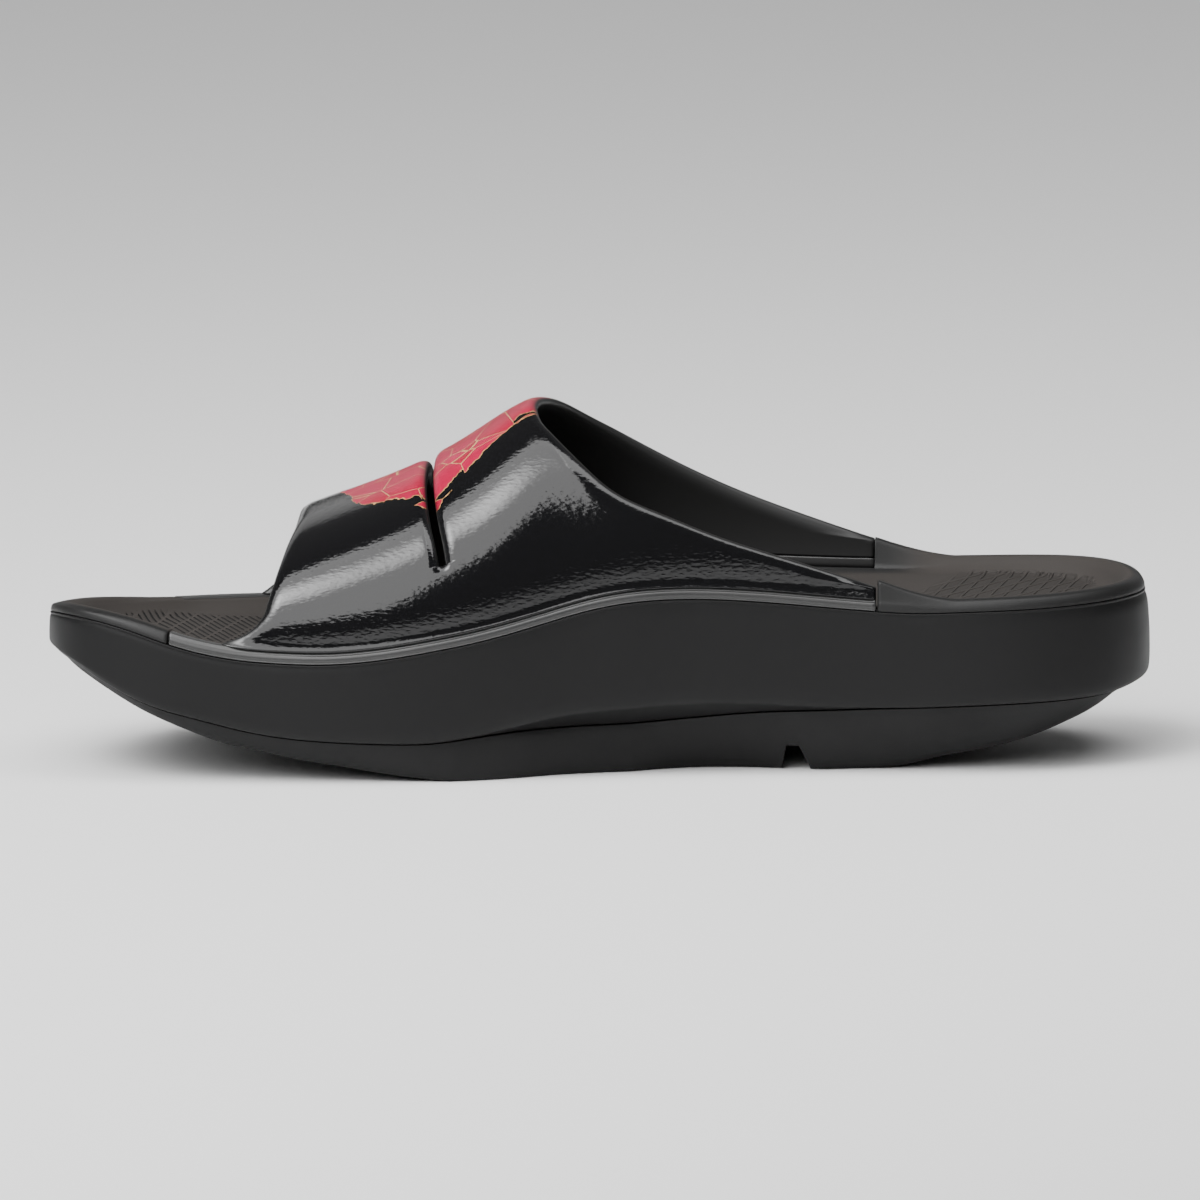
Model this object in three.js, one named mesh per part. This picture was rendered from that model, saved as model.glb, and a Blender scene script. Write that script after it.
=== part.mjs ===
// A right-foot slide sandal of moulded foam, standing empty on its sole.
// Lengths are millimetres. The toe points to -X, the arch side is -Y and Z is up from the floor.
// Four pieces: the strap with its flange (upper), the footbed with its rim, the sidewall body (midsole)
// and the tread layer (outsole). Sections run round the outline of the rim as one closed ring.
import * as THREE from 'three';
import { mergeVertices } from 'three/addons/utils/BufferGeometryUtils.js';

// Driving dimensions
const soleLength = 269; // rim outline, toe tip to back of heel
const ballWidth = 100; // rim outline, the greatest half widths of both sides together
const rimHeight = 40; // floor to the heel's parting line, the unit of the sole's heights
const strapHeight = 90; // floor to the crest of the strap's rear edge
const crestOffset = 3; // crest of the strap, towards the arch side
const strapWall = 3.6;
const strapInset = 1.2; // strap's outer face behind the bead's outer face
const beadHeight = 3.1; // bead of the strap's flange
const rimRise = 2.3; // footbed's rim above the parting line
const wingRise = 4.8; // what the rim gains where it carries the strap's rear corners on
const wingLength = 20;
const ledgeDepth = 3.5; // recess of the sidewall body that takes the footbed
const insoleThickness = 5;
const pieceGap = 0.3;
const flangeGap = 0.42; // the same round the strap's flange, whose sections lie elsewhere
const creaseRise = 0.6; // footbed's edge above the parting line, inside the strap
const slotWidth = 2;
const slotEnd = 0.27; // place of the slot's two ends up the strap's sides
const lipRadius = 1.4; // rounding of the slot's lips
const seamRadius = 0.6; // rounding of the flange's ends
const wallBulge = 0.4; // sidewall's swell beyond the rim outline
const heelBulge = 0.9; // what it gains round the heel
const heelBulgeAt = 0.9;
const tuckFall = 0.75; // fall of the sidewall's underside over its tuck
const treadThin = 1.6; // least height from the tread's underside to the sidewall body
const treadStep = 0.9; // tread layer's side behind the sidewall's lower edge
const notchDepth = 6; // groove across the tread before the heel
const notchFrontAt = 0.668; // share of soleLength, as each name ending in At
const notchFrontTopAt = 0.672;
const notchRearTopAt = 0.683;
const notchRearAt = 0.694;
const toeFlatAt = 0.364; // the underside is level from here to the groove, and from the groove to heelFlatAt
const heelFlatAt = 0.762;
const frontSeamAt = 0.1075;
const rearSeamAt = 0.754;
const toeSpineAt = 0.105; // ends of the spine that the sections meet on
const heelSpineAt = 0.89;
const treadBlend = 0.06;
const edgeShare = 0.45; // rounding of the strap's free edges, as a share of its wall
const rimEndFace = 0.05; // length in which the rim's section gives way to the plain side
const wingPower = 1.4; // exponent of the wing's fall over its length
const cupPower = 2.5; // exponent of the fall from an edge to the middle of the footbed and its recess
const lipShare = 0.6; // footbed's lip behind the rim, as a share of rimRise
const lipRun = 15; // length past the front seam in which the lip falls to creaseRise
const lipBevel = 0.8; // bevel along the footbed's top edge
const bevelFoot = 0.15; // what is left of it one point lower
const bedRelief = 0.1; // footbed's underside inside its side
const bodyBevel = 0.5; // bevels along the sidewall body's two edges
const bodyLip = 0.6; // inset of the body's lip
const bodyLipFoot = 0.2; // and of the foot of its bevel
const treadTuck = 1; // least run of the tread's side
const ringCount = 36; // sections on each side of the ring
const frontBands = 6; // rows of the strap before its slot
const rearBands = 8; // and after it

// Shares of the way from an edge to the spine at which a section has its points
const floorStops = [1, 0.72, 0.46, 0.26, 0.11];
const recessStops = [0, 0.14, 0.42, 1];
const seatStops = [0.15, 0.5, 1];
const treadStops = [0, 0.12, 0.4, 0.7, 1];

// Section of the footbed's rim, from the lip out to its underside: inset, and fall below one of its heights
const rimColumns = ['inset', 'from', 'fall'];
const rimRows = [
  [4.1, 'brow', 0], [2.6, 'top', 0], [1.3, 'top', 0.35], [0.5, 'bead', 0], [0, 'bulge', 0.9],
  [0, 'under', -0.5], [0.5, 'under', 0],
];
const browFall = 0.25; // brow below the top where the wing stands
const beadShare = 0.8; // bead as a share of rimRise
const beadFall = 0.3; // bead below the strap's bead where the wing stands
const beadClear = 0.5; // bead below the top at least
const wingFull = 2; // the wing's own heights are reached at one part in this many of its rise

// Plain side of the footbed inside the strap, and sides of the body and the tread, as shares of their fall
const sideStops = [0, 0.15, 0.3, 0.45, 0.58, 0.7, 0.8, 0.9, 1];
const wallStops = [{ fall: 0.35, bulge: 0.7 }, { fall: 0.7, bulge: 1 }];
const treadSideStops = [{ across: 0.3, fall: 0.45 }, { across: 0.75, fall: 0.88 }];

// Places up the strap's sides at which it has its columns, and spacing of its rows at edges and slot lips
const beforeSlotEnd = 0.02;
const columnStops = [
  0, 0.02, 0.05, 0.09, 0.14, 0.2, slotEnd - beforeSlotEnd, slotEnd,
  0.34, 0.42, 0.5, 0.58, 0.66, 0.74, 0.83, 0.92,
];
const edgeStops = [0, 0.1, 0.4, 1];
const lipStops = [0, 0.35, 1];
const slotEndShare = 0.5; // slot's width at its two ends, as a share of slotWidth
const leastSine = 0.25; // keeps a free edge's rounding short where the edge runs nearly lengthwise

// Sections of the rim outline: at as a share of soleLength; half widths and tucks as shares of ballWidth;
// parting line, sidewall's lower edge (step), middle of the footbed (floor) and of the tread's top (core)
// as shares of rimHeight. A tuck is how far the sidewall's underside runs in before the tread starts.
const soleColumns = ['at', 'medial', 'lateral', 'partMedial', 'partLateral', 'stepMedial', 'stepLateral',
  'tuckMedial', 'tuckLateral', 'floor', 'core'];
const soleRows = [
  [0.000, 0.180, -0.180, 0.952, 0.952, 0.758, 0.758, 0.010, 0.010, 0.825, 0.740],
  [0.011, 0.317, -0.033, 0.995, 0.900, 0.730, 0.715, 0.010, 0.010, 0.820, 0.730],
  [0.030, 0.381, 0.065, 0.995, 0.862, 0.673, 0.650, 0.010, 0.010, 0.810, 0.695],
  [0.052, 0.414, 0.158, 0.972, 0.825, 0.590, 0.575, 0.010, 0.010, 0.795, 0.630],
  [0.080, 0.440, 0.246, 0.922, 0.785, 0.500, 0.490, 0.010, 0.010, 0.778, 0.555],
  [0.108, 0.456, 0.316, 0.858, 0.752, 0.438, 0.430, 0.010, 0.010, 0.755, 0.480],
  [0.134, 0.463, 0.363, 0.810, 0.740, 0.397, 0.390, 0.010, 0.010, 0.735, 0.428],
  [0.175, 0.469, 0.419, 0.762, 0.726, 0.327, 0.323, 0.010, 0.010, 0.708, 0.366],
  [0.208, 0.475, 0.453, 0.747, 0.717, 0.288, 0.287, 0.010, 0.010, 0.690, 0.323],
  [0.257, 0.480, 0.490, 0.742, 0.713, 0.260, 0.260, 0.010, 0.010, 0.675, 0.280],
  [0.309, 0.475, 0.515, 0.774, 0.738, 0.245, 0.245, 0.010, 0.010, 0.680, 0.250],
  [0.348, 0.465, 0.520, 0.816, 0.775, 0.242, 0.242, 0.010, 0.010, 0.705, 0.240],
  [0.387, 0.450, 0.513, 0.863, 0.825, 0.280, 0.255, 0.014, 0.010, 0.745, 0.240],
  [0.428, 0.430, 0.495, 0.930, 0.882, 0.338, 0.285, 0.032, 0.010, 0.795, 0.245],
  [0.463, 0.410, 0.473, 0.995, 0.932, 0.392, 0.315, 0.060, 0.010, 0.840, 0.255],
  [0.487, 0.400, 0.457, 1.040, 0.965, 0.412, 0.333, 0.068, 0.010, 0.865, 0.263],
  [0.530, 0.385, 0.430, 1.090, 1.000, 0.432, 0.358, 0.078, 0.010, 0.905, 0.275],
  [0.572, 0.370, 0.410, 1.103, 1.010, 0.453, 0.372, 0.078, 0.010, 0.932, 0.287],
  [0.651, 0.355, 0.392, 1.078, 1.000, 0.447, 0.390, 0.046, 0.010, 0.955, 0.305],
  [0.706, 0.350, 0.382, 1.044, 0.990, 0.422, 0.400, 0.024, 0.010, 0.963, 0.310],
  [0.751, 0.350, 0.377, 1.019, 0.985, 0.417, 0.405, 0.013, 0.010, 0.963, 0.312],
  [0.781, 0.352, 0.373, 1.007, 0.985, 0.417, 0.410, 0.010, 0.010, 0.960, 0.318],
  [0.833, 0.355, 0.366, 1.015, 0.993, 0.430, 0.425, 0.010, 0.010, 0.957, 0.340],
  [0.896, 0.340, 0.343, 1.028, 1.007, 0.445, 0.443, 0.010, 0.010, 0.963, 0.385],
  [0.931, 0.306, 0.306, 1.035, 1.020, 0.450, 0.450, 0.010, 0.010, 0.968, 0.420],
  [0.967, 0.236, 0.234, 1.040, 1.030, 0.460, 0.460, 0.010, 0.010, 0.975, 0.450],
  [0.989, 0.146, 0.143, 1.038, 1.032, 0.480, 0.480, 0.010, 0.010, 0.982, 0.475],
  [1.000, 0.000, 0.000, 1.022, 1.022, 0.495, 0.495, 0.010, 0.010, 0.988, 0.485],
];

// Sections of the tread's underside: height as a share of rimHeight, insets as shares of ballWidth
const treadColumns = ['at', 'height', 'insetMedial', 'insetLateral'];
const treadRows = [
  [0.000, 0.738, 0.035, 0.035],
  [0.013, 0.700, 0.040, 0.040],
  [0.030, 0.635, 0.050, 0.050],
  [0.055, 0.533, 0.056, 0.056],
  [0.082, 0.430, 0.060, 0.060],
  [0.119, 0.320, 0.065, 0.065],
  [0.156, 0.230, 0.065, 0.065],
  [0.193, 0.177, 0.060, 0.060],
  [0.229, 0.125, 0.057, 0.057],
  [0.264, 0.090, 0.055, 0.055],
  [0.301, 0.048, 0.047, 0.050],
  [0.338, 0.015, 0.040, 0.044],
  [0.364, 0.000, 0.030, 0.040],
  [0.409, 0.000, 0.020, 0.040],
  [0.446, 0.000, 0.025, 0.040],
  [0.483, 0.000, 0.055, 0.045],
  [0.520, 0.000, 0.085, 0.055],
  [0.558, 0.000, 0.125, 0.065],
  [0.595, 0.000, 0.140, 0.070],
  [0.632, 0.000, 0.135, 0.073],
  [0.669, 0.000, 0.110, 0.075],
  [0.699, 0.000, 0.090, 0.078],
  [0.740, 0.000, 0.110, 0.085],
  [0.762, 0.000, 0.115, 0.090],
  [0.781, 0.015, 0.120, 0.100],
  [0.814, 0.072, 0.115, 0.110],
  [0.851, 0.120, 0.110, 0.110],
  [0.888, 0.175, 0.115, 0.115],
  [0.924, 0.250, 0.120, 0.120],
  [0.961, 0.348, 0.120, 0.120],
  [0.978, 0.408, 0.110, 0.110],
  [1.000, 0.475, 0.090, 0.090],
];

// Sections across the strap: height of the crest as a share of strapHeight, and the exponent of the
// superellipse between the crest and the top of the bead. Past the rear edge only the sides are used.
const strapColumns = ['at', 'crest', 'exponent'];
const strapRows = [
  [0.100, 0.498, 2.50],
  [0.152, 0.554, 2.50],
  [0.182, 0.598, 2.50],
  [0.204, 0.634, 2.50],
  [0.223, 0.656, 2.50],
  [0.240, 0.673, 2.50],
  [0.257, 0.694, 2.50],
  [0.293, 0.729, 2.45],
  [0.329, 0.776, 2.40],
  [0.348, 0.803, 2.35],
  [0.383, 0.867, 2.20],
  [0.420, 0.951, 2.10],
  [0.439, 0.983, 2.05],
  [0.450, 0.993, 2.00],
  [0.483, 1.019, 2.00],
  [0.539, 1.047, 2.00],
  [0.613, 1.058, 2.00],
  [0.755, 1.035, 2.00],
];

// Outline of the strap: over runs from 0 at the arch side's bead, through 1 at the crest, to 2 at the other
// bead; its two free edges and the middle of its slot are shares of soleLength.
const outlineColumns = ['over', 'front', 'rear', 'slot'];
const outlineRows = [
  [0.00, 0.1560, 0.7884, 0.3679],
  [0.05, 0.1742, 0.7403, 0.3657],
  [0.10, 0.1835, 0.6774, 0.3639],
  [0.15, 0.1898, 0.6187, 0.3621],
  [0.20, 0.1948, 0.5859, 0.3605],
  [0.25, 0.1964, 0.5572, 0.3589],
  [0.30, 0.1980, 0.5314, 0.3574],
  [0.37, 0.2002, 0.5089, 0.3549],
  [0.45, 0.2033, 0.4921, 0.3512],
  [0.53, 0.2061, 0.4778, 0.3485],
  [0.60, 0.2089, 0.4670, 0.3466],
  [0.68, 0.2118, 0.4567, 0.3449],
  [0.76, 0.2148, 0.4481, 0.3441],
  [0.84, 0.2182, 0.4439, 0.3436],
  [0.92, 0.2213, 0.4418, 0.3436],
  [1.00, 0.2248, 0.4412, 0.3440],
  [1.08, 0.2262, 0.4440, 0.3450],
  [1.16, 0.2266, 0.4490, 0.3463],
  [1.24, 0.2260, 0.4574, 0.3478],
  [1.32, 0.2252, 0.4687, 0.3492],
  [1.40, 0.2240, 0.4814, 0.3505],
  [1.47, 0.2227, 0.4956, 0.3517],
  [1.55, 0.2208, 0.5177, 0.3536],
  [1.63, 0.2186, 0.5441, 0.3563],
  [1.70, 0.2167, 0.5732, 0.3590],
  [1.75, 0.2156, 0.5987, 0.3601],
  [1.80, 0.2145, 0.6295, 0.3609],
  [1.85, 0.2128, 0.6693, 0.3617],
  [1.90, 0.2105, 0.7151, 0.3625],
  [1.95, 0.2055, 0.7616, 0.3633],
  [2.00, 0.1900, 0.8026, 0.3640],
];

// A smooth curve through (xs, ys): cubic Hermite pieces, each slope the weighted mean of its neighbours'
function smoothCurve(xs, ys) {
  const last = xs.length - 1;
  const slope = xs.map((x, i) => {
    if (i === 0) return (ys[1] - ys[0]) / (xs[1] - x);
    if (i === last) return (ys[last] - ys[last - 1]) / (x - xs[last - 1]);
    const before = x - xs[i - 1];
    const after = xs[i + 1] - x;
    return ((ys[i] - ys[i - 1]) / before * after + (ys[i + 1] - ys[i]) / after * before) / (before + after);
  });
  return (x) => {
    let i = 0;
    while (i < last - 1 && x > xs[i + 1]) i += 1;
    const h = xs[i + 1] - xs[i];
    const t = (x - xs[i]) / h;
    const blend = t * t * (3 - 2 * t);
    return ys[i] + (ys[i + 1] - ys[i]) * blend
      + h * (slope[i] * (t ** 3 - 2 * t * t + t) + slope[i + 1] * (t ** 3 - t * t));
  };
}

// Every column of a table as a smooth curve over its first column, which place() may turn first
function curvesOf(columns, rows, place = (at) => at) {
  const at = rows.map((row) => place(row[0]));
  return Object.fromEntries(columns.map((name, c) => [name, smoothCurve(at, rows.map((row) => row[c]))]));
}

// Turn of the outline at a share of the length: 0 at the toe tip, 1 at the heel
const turnAt = (share) => Math.acos(1 - 2 * THREE.MathUtils.clamp(share, 0, 1)) / Math.PI;
const shareAt = (turn) => (1 - Math.cos(Math.PI * turn)) / 2;
const mix = THREE.MathUtils.lerp;

const sole = curvesOf(soleColumns, soleRows, turnAt);
const tread = curvesOf(treadColumns, treadRows);
const strap = curvesOf(strapColumns, strapRows);
const outline = curvesOf(outlineColumns, outlineRows);

// Reads a column that has one curve for each side; side is -1 on the arch side and 1 on the other
const sided = (curves, name, side, x) => curves[name + (side < 0 ? 'Medial' : 'Lateral')](x);

// Half width and middle of the outline, worked out from its two sides
const halfWidth = (turn) => ballWidth * (sole.medial(turn) + sole.lateral(turn)) / 2;
const middle = (turn) => ballWidth * (sole.lateral(turn) - sole.medial(turn)) / 2;
const lengthwise = (share) => soleLength * (share - 0.5);

// Point of the ring: places run from -1 at the heel, round the arch side, to 0 at the toe and on to 1
function ringPoint(place) {
  const turn = Math.abs(place);
  return new THREE.Vector2(lengthwise(shareAt(turn)), Math.sign(place) * halfWidth(turn) + middle(turn));
}

// A place of the ring with its heights, its inward direction and the point of the spine that it looks to
function ringFrame(place) {
  const step = 0.002;
  const wrap = (p) => (p > 1 ? p - 2 : p < -1 ? p + 2 : p);
  const along = ringPoint(wrap(place + step)).sub(ringPoint(wrap(place - step)));
  const turn = Math.abs(place);
  const side = place < 0 ? -1 : 1;
  const share = shareAt(turn);
  const spineTurn = turnAt(THREE.MathUtils.clamp(share, toeSpineAt, heelSpineAt));
  return {
    side,
    share,
    edge: ringPoint(place),
    inward: new THREE.Vector2(along.y, -along.x).normalize(),
    spine: new THREE.Vector2(lengthwise(shareAt(spineTurn)), middle(spineTurn)),
    part: rimHeight * sided(sole, 'part', side, turn),
    step: rimHeight * sided(sole, 'step', side, turn),
    tuck: ballWidth * sided(sole, 'tuck', side, turn),
    treadInset: ballWidth * sided(tread, 'inset', side, share),
    floor: rimHeight * sole.floor(spineTurn),
    core: rimHeight * sole.core(spineTurn),
  };
}

// Point inset from the edge, then carried a share k of the way to the spine; z may be worked out from x
function sectionPoint(frame, inset, k, z) {
  const flat = frame.edge.clone().addScaledVector(frame.inward, inset).lerp(frame.spine, k);
  return new THREE.Vector3(flat.x, flat.y, typeof z === 'function' ? z(flat.x) : z);
}

// The same for the tread, whose points line up across the sole away from its two round ends
function treadPoint(frame, inset, k, z) {
  const point = sectionPoint(frame, inset, k, 0);
  const fromToe = (frame.share - toeSpineAt) / treadBlend;
  const fromHeel = (heelSpineAt - frame.share) / treadBlend;
  point.x = mix(point.x, frame.edge.x, THREE.MathUtils.clamp(Math.min(fromToe, fromHeel), 0, 1));
  point.z = z(point.x);
  return point;
}

// How much of the fall from an edge to the middle is done at share k: steep at the edge, level in the middle
const cup = (k) => 1 - (1 - k) ** cupPower;

// Places of the ring on one side at even turns, with the given shares of the length added; an even turn
// that lies too close to an added one is dropped
function ringTurns(count, extraShares) {
  const closest = 0.2;
  const even = Array.from({ length: count + 1 }, (_, i) => i / count);
  const extra = extraShares.map(turnAt);
  const kept = even.filter((turn) => extra.every((e) => Math.abs(e - turn) > closest / count));
  return [...kept, ...extra].sort((a, b) => a - b);
}

// Both sides of the ring as one closed list of places
function ringPlaces(turns) {
  return [...turns.slice(1).map((turn) => -turn).reverse(), 0, ...turns.slice(1, -1)];
}

// Closes a lattice of points into a geometry whose faces look outwards
function solidGeometry(points, faces) {
  const raw = new THREE.BufferGeometry().setFromPoints(points);
  raw.setIndex(faces.flat());
  const merged = mergeVertices(raw);
  const index = merged.getIndex().array;
  const p = merged.getAttribute('position');
  const [a, b, c] = [new THREE.Vector3(), new THREE.Vector3(), new THREE.Vector3()];
  let kept = [];
  let volume = 0;
  for (let i = 0; i < index.length; i += 3) {
    const [u, v, w] = index.slice(i, i + 3);
    if (u === v || v === w || u === w) continue;
    kept.push([u, v, w]);
    volume += a.fromBufferAttribute(p, u).dot(b.fromBufferAttribute(p, v).cross(c.fromBufferAttribute(p, w)));
  }
  if (volume < 0) kept = kept.map(([u, v, w]) => [u, w, v]);
  merged.setIndex(kept.flat());
  merged.computeVertexNormals();
  return merged;
}

// A solid whose sections all run from its upper spine, over its edge, to its lower spine. Each band is cut
// into triangles the same way seen from above, so that facing surfaces of two solids stay parallel.
function ringSolid(sections) {
  const count = sections[0].length;
  const points = sections.flat();
  const faces = [];
  sections.forEach((section, i) => {
    const next = (i + 1) % sections.length;
    for (let j = 0; j < count - 1; j += 1) {
      const [a, b, c, d] = [i * count + j, next * count + j, next * count + j + 1, i * count + j + 1];
      const inwards = section[j].distanceTo(section[0]) > section[j + 1].distanceTo(section[0]);
      if (inwards) faces.push([a, b, c], [a, c, d]);
      else faces.push([a, b, d], [b, c, d]);
    }
  });
  return solidGeometry(points, faces);
}

const flangeInset = strapInset + strapWall; // inner face of the strap's foot
const bedInset = flangeInset + flangeGap; // footbed's side inside the strap

// Share of the wing's rise at a share of the length
function wingAt(share) {
  const past = (share - rearSeamAt) * soleLength / wingLength;
  return past < 0 ? 0 : Math.max(0, 1 - past) ** wingPower;
}

// Footbed: cupped floor, rim with its bead at toe and heel, plain side inside the strap
function footbedSection(place, rimmed) {
  const f = ringFrame(place);
  const wing = wingAt(f.share);
  const winged = Math.min(1, wing * wingFull);
  const top = f.part + rimRise + wingRise * wing;
  const bead = f.part + mix(rimRise * beadShare, beadHeight - beadFall, winged);
  const pastSeam = Math.max(0, (f.share - frontSeamAt) * soleLength / lipRun);
  const open = rimmed ? 1 - winged : Math.max(0, f.share < 0.5 ? 1 - pastSeam : 0);
  const lip = f.part + mix(creaseRise, rimRise * lipShare, open);
  const under = f.part + pieceGap;
  const bottom = f.part - ledgeDepth + pieceGap;
  const middleBottom = f.floor - insoleThickness;
  const floorPoints = floorStops.map(
    (k) => sectionPoint(f, bedInset + lipBevel, k, mix(lip, f.floor, cup(k))));
  const heights = {
    top, under, brow: mix(top - browFall, top, open), bead: Math.min(bead, top - beadClear), bulge: bead };
  const column = (row, name) => row[rimColumns.indexOf(name)];
  const rim = [
    [bedInset + lipBevel, lip],
    ...rimRows.map((row) => [column(row, 'inset'), heights[column(row, 'from')] - column(row, 'fall')]),
    [bedInset, under]];
  const bevels = [lipBevel, bevelFoot];
  const edge = rimmed
    ? rim.map(([inset, z]) => sectionPoint(f, inset, 0, z))
    : sideStops.map((fall, i) => sectionPoint(f, bedInset + (bevels[i] ?? 0), 0, mix(lip, under, fall)));
  const underPoints = recessStops.map(
    (k) => sectionPoint(f, bedInset + bedRelief, k, mix(bottom, middleBottom, cup(k))));
  return [...floorPoints, ...edge, ...underPoints];
}

// Where the footbed's rim ends at the strap's flange; just past it the section changes
const rimEnds = [frontSeamAt - pieceGap / 2 / soleLength, rearSeamAt + pieceGap / 2 / soleLength];
const soleTurns = ringTurns(ringCount, [
  ...rimEnds, toeFlatAt, notchFrontAt, notchFrontTopAt, notchRearTopAt, notchRearAt, heelFlatAt]);

function footbed() {
  const sliver = rimEndFace / soleLength;
  const pastEnds = [rimEnds[0] + sliver, rimEnds[1] - sliver].map(turnAt);
  const turns = [...soleTurns, ...pastEnds].sort((a, b) => a - b);
  return ringSolid(ringPlaces(turns).map((place) => {
    const share = shareAt(Math.abs(place));
    return footbedSection(place, share < rimEnds[0] + sliver / 2 || share > rimEnds[1] - sliver / 2);
  }));
}

// Height of the tread's underside over x, with the groove before the heel
function undersideAt(x) {
  const share = THREE.MathUtils.clamp(x / soleLength + 0.5, 0, 1);
  const ramp = rimHeight * Math.max(0, tread.height(share));
  const intoFront = (share - notchFrontAt) / (notchFrontTopAt - notchFrontAt);
  const intoRear = (notchRearAt - share) / (notchRearAt - notchRearTopAt);
  return ramp + notchDepth * THREE.MathUtils.clamp(Math.min(intoFront, intoRear), 0, 1);
}

// Where the sidewall body's underside meets the tread's top: inset and height of the edge, and the height
// at a share k of the way to the spine, which keeps clear of the tread's underside
function seatOf(f) {
  const inset = f.tuck + treadStep;
  const edge = f.step - tuckFall * (f.tuck - ballWidth * sole.tuckLateral(0));
  const height = (k) => (x) => Math.max(mix(edge, f.core, cup(k)), undersideAt(x) + treadThin);
  return { inset, edge, height };
}

// Sidewall body: recess for the footbed, ledge under the flange, swelling wall, underside over the tread
function midsoleSection(place) {
  const f = ringFrame(place);
  const seat = seatOf(f);
  const middleTop = f.floor - insoleThickness - pieceGap;
  const shelf = f.part - ledgeDepth;
  const height = f.part - f.step;
  const bulge = wallBulge + heelBulge * THREE.MathUtils.smoothstep(f.share, heelBulgeAt, 1);
  return [
    ...recessStops.toReversed().map((k) => sectionPoint(f, flangeInset, k, mix(shelf, middleTop, cup(k)))),
    sectionPoint(f, flangeInset, 0, f.part),
    sectionPoint(f, bodyLip, 0, f.part),
    sectionPoint(f, bodyLipFoot, 0, f.part - bodyBevel),
    ...wallStops.map((stop) => sectionPoint(f, -bulge * stop.bulge, 0, f.part - height * stop.fall)),
    sectionPoint(f, wallBulge - bulge, 0, f.step + bodyBevel),
    sectionPoint(f, bodyBevel, 0, f.step),
    sectionPoint(f, seat.inset, 0, seat.edge),
    ...seatStops.map((k) => sectionPoint(f, seat.inset, k, seat.height(k))),
  ];
}

const midsole = () => ringSolid(ringPlaces(soleTurns).map(midsoleSection));

// Tread layer: top against the sidewall body, side running in to its foot, flat underside
function outsoleSection(place) {
  const f = ringFrame(place);
  const seat = seatOf(f);
  const edgeTop = seat.edge - pieceGap;
  const foot = Math.max(f.treadInset, seat.inset + treadTuck);
  const toFoot = (share) => (x) => mix(edgeTop, undersideAt(x), share);
  return [
    ...seatStops.toReversed().map((k) => sectionPoint(f, seat.inset, k, (x) => seat.height(k)(x) - pieceGap)),
    sectionPoint(f, seat.inset, 0, edgeTop),
    ...treadSideStops.map((stop) => treadPoint(f, mix(seat.inset, foot, stop.across), 0, toFoot(stop.fall))),
    ...treadStops.map((k) => treadPoint(f, foot, k, undersideAt)),
  ];
}

const outsole = () => ringSolid(ringPlaces(soleTurns).map(outsoleSection));

// Outer face of the strap at a share of the length, up a side: a superellipse from bead to crest
function strapPoint(share, up, side) {
  const turn = turnAt(share);
  const power = 2 / strap.exponent(share);
  const angle = up * Math.PI / 2;
  const foot = side * (halfWidth(turn) - strapInset) + middle(turn);
  const base = rimHeight * sided(sole, 'part', side, turn) + beadHeight;
  const across = mix(-crestOffset, foot, Math.abs(Math.cos(angle)) ** power);
  const z = mix(base, strapHeight * strap.crest(share), Math.abs(Math.sin(angle)) ** power);
  return new THREE.Vector3(lengthwise(share), across, z);
}

function strapNormal(share, up, side) {
  const [dShare, dUp] = [0.001, 0.004];
  const along = strapPoint(share + dShare, up, side).sub(strapPoint(share - dShare, up, side));
  const high = up + dUp > 1 ? strapPoint(share, 2 - up - dUp, -side) : strapPoint(share, up + dUp, side);
  const rise = high.sub(strapPoint(share, Math.max(0, up - dUp), side));
  return along.cross(rise).multiplyScalar(-side).normalize();
}

// Section of the flange's bead: insets and rises over the parting line, from the strap's foot down
const beadSection = [[0.75, 2.9], [0.2, 2.3], [0, 1.5], [0, 0.9], [0.5, flangeGap]];

// Columns of the strap's lattice, from the flange of the arch side over the crest to the other flange
function strapColumnsOf(side) {
  return [
    ...beadSection.map(([inset, rise]) => ({ side, up: 0, inset, rise })).reverse(),
    ...columnStops.map((up) => ({ side, up })),
  ];
}

// Lengthwise places of a column's rows: close together at its free ends and at the slot's lips
function columnRows(column, frontSine, rearSine) {
  const flange = column.rise !== undefined;
  const half = pieceGap / 2 / soleLength;
  const seamFront = frontSeamAt + half;
  const seamRear = rearSeamAt - half;
  const over = column.side < 0 ? column.up : 2 - column.up;
  const front = flange ? seamFront : outline.front(over);
  const rear = flange ? seamRear : Math.min(seamRear, outline.rear(over));
  const round = (flange ? seamRadius : strapWall * edgeShare) / soleLength;
  const slot = outline.slot(over);
  const narrowed = column.up === slotEnd ? slotEndShare : 1;
  const gap = slotWidth / 2 * narrowed / soleLength;
  const lip = lipRadius / soleLength;
  const between = (a, b, count) => Array.from({ length: count }, (_, i) => mix(a, b, (i + 1) / (count + 1)));
  const frontRows = edgeStops.map((e) => front + round * e / frontSine);
  const rearRows = edgeStops.map((e) => rear - round * e / rearSine).reverse();
  const beforeSlot = lipStops.map((e) => slot - gap - lip * e).reverse();
  const afterSlot = lipStops.map((e) => slot + gap + lip * e);
  return {
    front,
    rear,
    slot,
    gap,
    rows: [
      ...frontRows, ...between(frontRows.at(-1), beforeSlot[0], frontBands), ...beforeSlot,
      ...afterSlot, ...between(afterSlot.at(-1), rearRows[0], rearBands), ...rearRows],
  };
}

// How far a rounded edge of the given radius draws the face in at a distance from the edge
const drawIn = (distance, radius) => (
  distance >= radius ? 0 : radius - Math.sqrt(radius ** 2 - (radius - Math.max(0, distance)) ** 2));

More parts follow.
